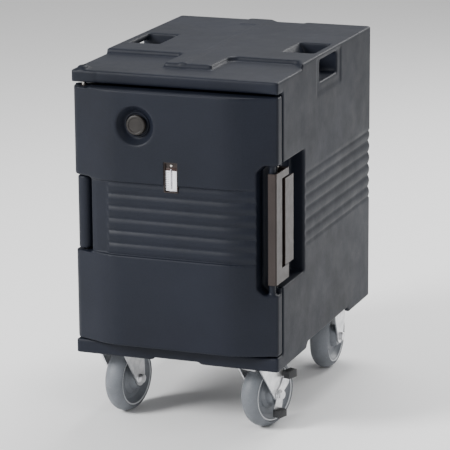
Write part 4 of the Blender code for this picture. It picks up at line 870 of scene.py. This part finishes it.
def buildVent():
    v = vent
    low, high = corners("vent_cap")
    sealLow, sealHigh = corners("vent_seal")
    radius = (high.x - low.x) / 2
    middle = (low + high) / 2
    sealFront = sealLow.y - gap
    thick = sealFront - low.y
    stemEnd = -(high.y - sealFront)
    face = thick - v["capFace"]
    cap = addTurned(
        "ventCap",
        [(0, face), (radius - 0.0065, face), (radius - 0.0055, thick - 0.0004),
         (radius - 0.0045, thick), (radius - 0.0028, thick), (radius - 0.0008, thick - 0.0010),
         (radius, thick - 0.0030), (radius, 0.0012), (radius - 0.0008, 0), (v["stemRadius"], 0),
         (v["stemRadius"], -v["stemLength"]), (v["stemTaper"], stemEnd), (0, stemEnd)],
        v["capSteps"], (middle.x, sealFront, middle.z), (0, -1, 0),
    )
    smooth(cap, 35)
    finish(cap, "vent_plug", "vent", ventPlastic, "vent_cap")
    outer = (sealHigh.x - sealLow.x) / 2
    thick = sealHigh.y - sealLow.y
    edge = v["sealEdge"]
    ring = addTurned(
        "ventSeal",
        [(v["sealBore"], 0), (outer - edge, 0), (outer, edge), (outer, thick - edge),
         (outer - edge, thick), (v["sealBore"], thick)],
        56, (middle.x, sealHigh.y, middle.z), (0, -1, 0),
    )
    smooth(ring, 35)
    finish(ring, "door", "gasket", sealRubber, "vent_seal")
    inner = v["collarInner"]
    outer = v["collarOuter"]
    shoulder = v["collarRise"] - v["collarStep"]
    collar = addTurned(
        "ventCollar",
        [(inner, 0), (outer, 0), (outer, shoulder), (outer - v["collarEdge"], v["collarRise"]),
         (inner + v["collarEdge"], v["collarRise"]), (inner, shoulder)],
        v["capSteps"], (middle.x, sealHigh.y + gap, middle.z), (0, -1, 0),
    )
    smooth(collar, 35)
    finish(collar, "door", "shell", shellPlastic)


thermometer = {
    "housingEdge": 0.0006, "cardEdge": 0.0004, "tubeRadius": 0.0012, "tubeShoulder": 0.001,
    "probeRadius": 0.003, "probePoint": 0.0018,
}


def buildThermometer():
    t = thermometer
    dress("thermometer_housing", "thermometerHousing", "door", "nylon", nylon, t["housingEdge"])
    low, high = corners("thermometer_card")
    card = copyNode("thermometer_card", "thermometerCard")
    rounded(card, t["cardEdge"])
    finish(card, "door", "card", printedCard("printedScaleCard", low, high), "thermometer_card")
    low, high = corners("thermometer_tube")
    middle = (low + high) / 2
    radius = t["tubeRadius"]
    tube = addTurned(
        "thermometerTube",
        [(0, low.z), (radius - 0.0004, low.z + 0.0002), (radius, low.z + t["tubeShoulder"]),
         (radius, high.z - t["tubeShoulder"]), (radius - 0.0005, high.z - 0.0002), (0, high.z)],
        20, (middle.x, middle.y, 0),
    )
    smooth(tube)
    finish(tube, "door", "glass", tubeGlass, "thermometer_tube")
    low, high = corners("thermometer_probe")
    middle = (low + high) / 2
    length = high.y - low.y
    radius = t["probeRadius"]
    probe = addTurned(
        "thermometerProbe",
        [(0, 0), (radius - 0.0006, 0), (radius, 0.0006), (radius, length - 0.003),
         (t["probePoint"], length - 0.0006), (0, length)],
        28, (middle.x, low.y, middle.z), (0, 1, 0),
    )
    smooth(probe)
    finish(probe, "door", "rod", drawnSteel, "thermometer_probe")


def barProfile(low, high, radius, chamfer):
    # one side of a round bar from its axis out, with both its ends chamfered
    return [
        (0, low), (radius - chamfer, low), (radius, low + chamfer), (radius, high - chamfer),
        (radius - chamfer, high), (0, high),
    ]


def buildRod(node, name, body, chamfer=0.0008, sides=40, material=drawnSteel, slotName="rod"):
    low, high = corners(node)
    middle = (low + high) / 2
    radius = (high.x - low.x) / 2
    rod = addTurned(name, barProfile(low.z, high.z, radius, chamfer), sides, (middle.x, middle.y, 0))
    smooth(rod)
    return finish(rod, body, slotName, material, node)


def buildBush(node, name, chamfer=0.0004):
    low, high = corners(node)
    middle = (low + high) / 2
    outer = (high.x - low.x) / 2
    inner = (hingeHigh.x - hingeLow.x) / 2 + gap
    profile = barProfile(low.z, high.z, outer, chamfer)
    bush = addTurned(
        name, [(inner, low.z)] + profile[1:-1] + [(inner, high.z)], 40, (middle.x, middle.y, 0)
    )
    smooth(bush)
    finish(bush, "door", "nylon", nylon, node)


wheel = {
    "rim": 0.0615, "rimHalf": 0.019, "ridge": 0.0575, "webHalf": 0.0085, "hub": 0.024,
    "hubHalf": 0.0275, "bore": 0.0109, "steps": 96, "crown": 0.025, "crownSteps": 22,
    "treadEdge": 0.0004, "ringOut": 0.0004, "ringRise": 0.0016,
}
alongX = (0, 0, 0), (1, 0, 0)


def placed(piece, at, axis):
    # moves a piece made about the X axis at the origin onto an axle
    piece.rotation_euler = (0, 0, math.atan2(axis[1], axis[0]))
    piece.location = at
    return settle(piece, piece.name)


def buildWheel(label, jointName, body):
    w = wheel
    joint = joints[jointName]
    at = joint["pos_m"]
    axis = joint["axis"]
    rim = w["rim"]
    hub = w["hub"]
    ridge = w["ridge"]
    web = w["webHalf"]
    rimHalf = w["rimHalf"]
    radius = at[2] - corners(label + "_wheel_tread")[0].z
    centre = radius - w["crown"]
    start = math.degrees(math.asin((rim + gap - centre) / w["crown"]))
    crown = arc((centre, 0), w["crown"] - 0.0002, 90 - start, start - 90, w["crownSteps"])
    half = crown[0][1] - w["treadEdge"]
    section = [(rim + gap, half)] + crown[1:-1] + [(rim + gap, -half)]
    tread = addTurned(label + "Tread", section, w["steps"], *alongX)
    smooth(placed(tread, at, axis), 45)
    finish(tread, body, "tread", treadRubber, label + "_wheel_tread")

    # from the rim over its ridge, down the web and out along the hub to the bore
    sideProfile = [
        (rim, rimHalf), (rim - 0.0016, rimHalf + 0.0006), (ridge - 0.0004, rimHalf + 0.0002),
        (ridge - 0.0020, rimHalf - 0.0030), (ridge - 0.0060, web + 0.0035), (ridge - 0.0100, web),
        (hub + 0.0120, web), (hub + 0.0105, web + 0.0022), (hub + 0.0070, web + 0.0026),
        (hub + 0.0020, web + 0.0060), (hub - 0.0010, w["hubHalf"] - 0.0035),
        (hub - 0.0035, w["hubHalf"]), (w["bore"] + 0.0010, w["hubHalf"]),
        (w["bore"], w["hubHalf"] - 0.0010),
    ]
    otherSide = [(distance, -across) for distance, across in reversed(sideProfile)]
    core = addTurned(label + "Core", sideProfile + otherSide, w["steps"], *alongX)
    smooth(placed(core, at, axis), 30)
    finish(core, body, "core", corePlastic, label + "_wheel_core")
    out = rimHalf + w["ringOut"]
    ringProfile = [
        (ridge + 0.0002, out - 0.002), (ridge + 0.0002, out + 0.0008), (ridge + 0.0010, out + w["ringRise"]),
        (ridge + 0.0026, out + w["ringRise"]), (ridge + 0.0034, out + 0.0008), (ridge + 0.0034, out - 0.002),
    ]
    # a thin raised ring on each side of the wheel, coloured pale as a painted highlight on the rim's edge
    for side, ending in ((-1, "RimNear"), (1, "RimFar")):
        ring = addTurned(
            label + ending, [(distance, side * across) for distance, across in ringProfile],
            w["steps"], *alongX,
        )
        smooth(placed(ring, at, axis), 35)
        finish(ring, body, "core", rimHighlightPlastic)


def hexPiece(name, radius, low, high):
    # a hexagon's corners are broken by a turned chamfer, so it is cut out of a chamfered bar
    block = addBar(name, (low, 0, 0), (high, 0, 0), radius, 6)
    limit = addTurned("limit", barProfile(low - 0.0004, high + 0.0004, radius - 0.0002, 0.0016), 36, *alongX)
    combine(block, limit, how="INTERSECT")
    return block


axle = {
    "radius": 0.006, "endChamfer": (0.001, 0.0012), "tail": 0.008, "hexRadius": 0.0102,
    "headLow": 0.0012, "headHigh": 0.0070, "collarRadius": 0.0112, "collarThick": 0.0016,
    "nutThick": 0.0066, "spacerRadius": 0.0103, "hubHalf": 0.0275, "hubSpace": 0.001,
    "forkPlate": 0.004, "leverPlate": 0.003,
}


def buildAxle(label, jointName, body, far, near):
    a = axle
    joint = joints[jointName]
    at = joint["pos_m"]
    axis = joint["axis"]
    radius = a["radius"]
    tail = -near - a["tail"]
    bolt = addTurned(
        label + "AxleBolt",
        [(0, tail), (radius - a["endChamfer"][0], tail), (radius, tail + a["endChamfer"][1]),
         (radius, far + 0.001), (0, far + 0.001)],
        36, *alongX,
    )
    head = hexPiece("head", a["hexRadius"], far + a["headLow"], far + a["headHigh"])
    collar = addTurned(
        "collar",
        [(0, far + gap), (a["collarRadius"], far + gap), (a["collarRadius"], far + a["collarThick"]),
         (0, far + a["collarThick"])],
        40, *alongX,
    )
    combine(bolt, collar, head, how="UNION")
    smooth(placed(bolt, at, axis), 35)
    finish(bolt, body, "zinc", zincPlate, label + "_axle_bolt")
    nut = hexPiece(label + "AxleNut", a["hexRadius"], -near - a["nutThick"], -near - gap)
    combine(nut, addBar("threadHole", (-near - past, 0, 0), (-near + past, 0, 0), radius + gap, 36))
    smooth(placed(nut, at, axis), 35)
    finish(nut, body, "zinc", zincPlate, label + "_axle_nut")
    half = a["hubHalf"] + a["hubSpace"] - gap
    outer = a["spacerRadius"]
    spacer = addTurned(
        label + "AxleSpacer", [(radius + gap, -half), (outer, -half), (outer, half), (radius + gap, half)],
        36, *alongX,
    )
    smooth(placed(spacer, at, axis), 35)
    finish(spacer, body, "zinc", zincPlate, label + "_axle_spacer")


studNut = {
    "plateMargin": 0.006, "plateThick": 0.005, "hexRadius": 0.0072, "low": 0.0014, "high": 0.0068,
    "washerBore": 0.0030, "washerRadius": 0.0088, "washerLow": 0.0002, "washerHigh": 0.0015,
    "studHole": 0.0043,
}


def buildStudNuts(label):
    # a nut and washer under the plate at each of its four studs
    n = studNut
    low, high = corners("stud_plate_" + label)
    spanX = (high.x - low.x) / 2 - n["plateMargin"]
    spanY = (high.y - low.y) / 2 - n["plateMargin"]
    middle = (low + high) / 2
    plate = label + ("_top_plate" if label.startswith("front") else "_fork")
    plateLow = corners(plate)[1].z - n["plateThick"]
    for sideX, endX in ((-1, "L"), (1, "R")):
        for sideY, endY in ((-1, "F"), (1, "B")):
            nut = hexPiece(label + "Nut" + endX + endY, n["hexRadius"], n["low"], n["high"])
            washer = addTurned(
                "washer",
                [(n["washerBore"], n["washerLow"]), (n["washerRadius"], n["washerLow"]),
                 (n["washerRadius"], n["washerHigh"]), (n["washerBore"], n["washerHigh"])],
                32, *alongX,
            )
            combine(nut, washer, how="UNION")
            combine(nut, addBar("studHole", (-past / 2, 0, 0), (past, 0, 0), n["studHole"], 24))
            nut.rotation_euler = (0, math.radians(90), 0)
            nut.location = (middle.x + sideX * spanX, middle.y + sideY * spanY, plateLow)
            settle(nut, nut.name)
            smooth(nut, 35)
            finish(nut, "cabinet", "zinc", zincPlate)


swivelHead = {
    "raceBore": 0.0083, "raceSteps": 72, "grooveDepth": 0.0012, "pinHead": 0.0118, "pinHeadThick": 0.0050,
    "pinShank": 0.0080, "pinSteps": 48, "plateEdge": 0.0009,
}


def buildSwivelHead(label):
    h = swivelHead
    low, high = corners(label + "_race_ring")
    middle = (low + high) / 2
    outer = (high.x - low.x) / 2
    tall = high.z - low.z
    groove = outer - h["grooveDepth"]
    race = addTurned(
        label + "RaceRing",
        [(h["raceBore"], low.z), (outer - 0.0045, low.z), (outer - 0.0020, low.z + 0.0008),
         (outer, low.z + 0.0030), (outer, low.z + tall * 0.45), (groove, low.z + tall * 0.52),
         (groove, low.z + tall * 0.60), (outer - 0.0002, low.z + tall * 0.68),
         (outer - 0.0008, high.z - 0.0012), (outer - 0.0030, high.z), (h["raceBore"], high.z)],
        h["raceSteps"], (middle.x, middle.y, 0),
    )
    smooth(race, 32)
    finish(race, "cabinet", "zinc", zincPlate, label + "_race_ring")
    low, high = corners(label + "_kingpin")
    head = h["pinHead"]
    shank = h["pinShank"]
    kingpin = addTurned(
        label + "Kingpin",
        [(0, low.z), (0.0070, low.z + 0.0002), (0.0105, low.z + 0.0018), (head, low.z + 0.0035),
         (head, low.z + h["pinHeadThick"]), (shank, low.z + h["pinHeadThick"]),
         (shank, high.z - 0.0006), (shank - 0.0006, high.z), (0, high.z)],
        h["pinSteps"], (middle.x, middle.y, 0),
    )
    smooth(kingpin, 35)
    finish(kingpin, "cabinet", "zinc", zincPlate, label + "_kingpin")
    dress(label + "_top_plate", label + "TopPlate", "cabinet", "zinc", zincPlate, h["plateEdge"])


brake = {
    "plateEdge": 0.0006, "pinEdge": 0.0004, "padEdge": 0.0004, "grooves": 4, "grooveStart": 0.0065,
    "groovePitch": 0.0028, "grooveHalf": 0.0006, "grooveDepth": 0.0009,
}


def buildBrake():
    b = brake
    body = "brake_lever"
    dress("brake_lever", "brakeLeverPlate", body, "zinc", zincPlate, b["plateEdge"])
    joint = joints["brake_lever_turn"]
    turn = math.atan2(-joint["axis"][1], -joint["axis"][0])
    home = Matrix.Translation(Vector(joint["pos_m"])) @ Matrix.Rotation(turn, 4, "Z")
    for node, name in (("brake_pad_lower", "brakePadLower"), ("brake_pad_upper", "brakePadUpper")):
        pad = copyNode(node, name)
        pad.data.transform(home.inverted())  # square to the wheel while it is grooved for grip
        spots = [vertex.co.copy() for vertex in pad.data.vertices]
        lowest = Vector([min(spot[i] for spot in spots) for i in range(3)])
        highest = Vector([max(spot[i] for spot in spots) for i in range(3)])
        front = highest.y + past / 2
        for i in range(b["grooves"]):
            x = lowest.x + b["grooveStart"] + i * b["groovePitch"]
            start = x - b["grooveHalf"]
            end = x + b["grooveHalf"]
            for z in (lowest.z, highest.z):
                groove = addBlock(
                    "groove", (start, lowest.y - past / 2, z - b["grooveDepth"]),
                    (end, front, z + b["grooveDepth"]),
                )
                combine(pad, groove)
            frontGroove = addBlock(
                "groove", (start, highest.y - b["grooveDepth"], lowest.z - past / 2),
                (end, front, highest.z + past / 2),
            )
            combine(pad, frontGroove)
        rounded(pad, b["padEdge"])
        pad.data.transform(home)
        finish(pad, body, "pad", padPlastic, node)
    dress("brake_shoe", "brakeShoe", "brake_shoe", "zinc", zincPlate, b["plateEdge"])
    dress("brake_shoe_pin", "brakeShoePin", "front_right_swivel", "zinc", zincPlate, b["pinEdge"])


def buildCasters():
    outer = axle["hubHalf"] + axle["hubSpace"] + axle["forkPlate"]
    for label in ("front_left", "front_right", "rear_left", "rear_right"):
        front = label.startswith("front")
        body = label + "_swivel" if front else "cabinet"
        buildWheel(label, label + "_wheel_spin", label + "_wheel")
        # the brake lever sits between the right front fork and its bolt's head
        far = outer + (axle["leverPlate"] + 2 * gap if label == "front_right" else 0)
        buildAxle(label, label + "_wheel_spin", body, far, outer)
        dress(label + "_fork", label + "Fork", body, "zinc", zincPlate, 0.0010, 3)
        buildStudNuts(label)
        if front:
            buildSwivelHead(label)
        studPlate = copyNode("stud_plate_" + label, label + "StudPlate")
        finish(studPlate, "cabinet", "zinc", zincPlate, "stud_plate_" + label)
    buildBrake()
    print("casters finished")


latch = {"edge": 0.0009, "rodChamfer": 0.0005, "pinChamfer": 0.0004}


def buildLatch():
    dress("latch_handle", "latchHandle", "latch_handle", "nylon", nylon, latch["edge"], 3)
    dress("latch_hook", "latchHook", "latch_hook", "nylon", nylon, latch["edge"], 3)
    buildRod("latch_rod", "latchRod", "cabinet", latch["rodChamfer"])
    buildRod("latch_link_pin", "latchLinkPin", "latch_handle", latch["pinChamfer"])
    print("latch finished")


linings = {"linerEdge": 0.0022, "gasketEdge": 0.0012}


def buildLinings():
    edge = linings["linerEdge"]
    dress("cabinet_liner", "cabinetLiner", "cabinet", "liner", linerPlastic, edge, 3)
    dress("door_liner", "doorLiner", "door", "liner", linerPlastic, edge, 3)
    dress("door_gasket", "doorGasket", "door", "gasket", sealRubber, linings["gasketEdge"], 3)
    for node in ("cabinet_foam", "door_foam"):  # the foam's CAD shape stays and only takes its material
        foam = frame["nodes"][node]
        if foam.material_slots:
            foam.material_slots[0].material = foamPlastic
        else:
            foam.data.materials.append(foamPlastic)
    print("linings finished")


studio = {
    "cameraAt": (1.9803, -5.2833, 1.8370), "azimuth": 20.55, "elevation": 14.43, "roll": -0.39,
    "lens": 208.9, "sensor": 36, "floor": 14, "floorColour": "FBFBFB", "floorRoughness": 0.7,
    "world": "FFFFFF", "worldStrength": 0.52, "aim": (0, 0, 0.42),
    "lights": (  # name, place, width in metres and power in watts
        ("keyLight", (-2.6, -3.0, 2.6), 1.6, 260),
        ("fillLight", (3.4, -2.2, 2.6), 1.8, 30),
        ("topLight", (0.1, 1.2, 3.4), 1.8, 85),
        ("backLight", (1.6, 3.4, 2.2), 2.0, 80),
    ),
}


def buildStudio():
    s = studio
    deselectAll()
    bpy.ops.object.camera_add(location=s["cameraAt"])
    camera = bpy.context.object
    look = Matrix.Rotation(math.radians(s["azimuth"]), 4, "Z")
    look = look @ Matrix.Rotation(math.radians(90 - s["elevation"]), 4, "X")
    look = look @ Matrix.Rotation(math.radians(s["roll"]), 4, "Z")
    camera.matrix_world = Matrix.Translation(Vector(s["cameraAt"])) @ look
    camera.data.lens = s["lens"]
    camera.data.sensor_width = s["sensor"]
    bpy.context.scene.camera = camera
    bpy.ops.mesh.primitive_plane_add(size=s["floor"], location=(0, 0, 0))
    floor = settle(bpy.context.object, "floor")
    # matt painted floor: pale, so the shadow under the casters stays soft
    floorMaterial = startMaterial("paleStudioFloor", {
        "Roughness": s["floorRoughness"], "Base Color": linear(s["floorColour"]),
    })[0]
    floor.data.materials.append(floorMaterial)
    for name, at, size, power in s["lights"]:
        deselectAll()
        bpy.ops.object.light_add(type="AREA", location=at)
        light = bpy.context.object
        light.name = name
        light.data.shape = "DISK"
        light.data.size = size
        light.data.energy = power
        light.rotation_euler = (Vector(s["aim"]) - Vector(at)).to_track_quat("-Z", "Y").to_euler()
    world = bpy.data.worlds.new("studioWorld")
    bpy.context.scene.world = world
    world.use_nodes = True
    backdrop = world.node_tree.nodes["Background"]
    backdrop.inputs["Color"].default_value = linear(s["world"])
    backdrop.inputs["Strength"].default_value = s["worldStrength"]
    print("studio ready")


buildStudio()
buildCabinet()
buildDoor()
buildVent()
buildThermometer()
buildLatch()
buildRod("hinge_rod", "hingeRod", "cabinet")
buildBush("hinge_bush_lower", "hingeBushLower")
buildBush("hinge_bush_upper", "hingeBushUpper")
buildLinings()
buildCasters()
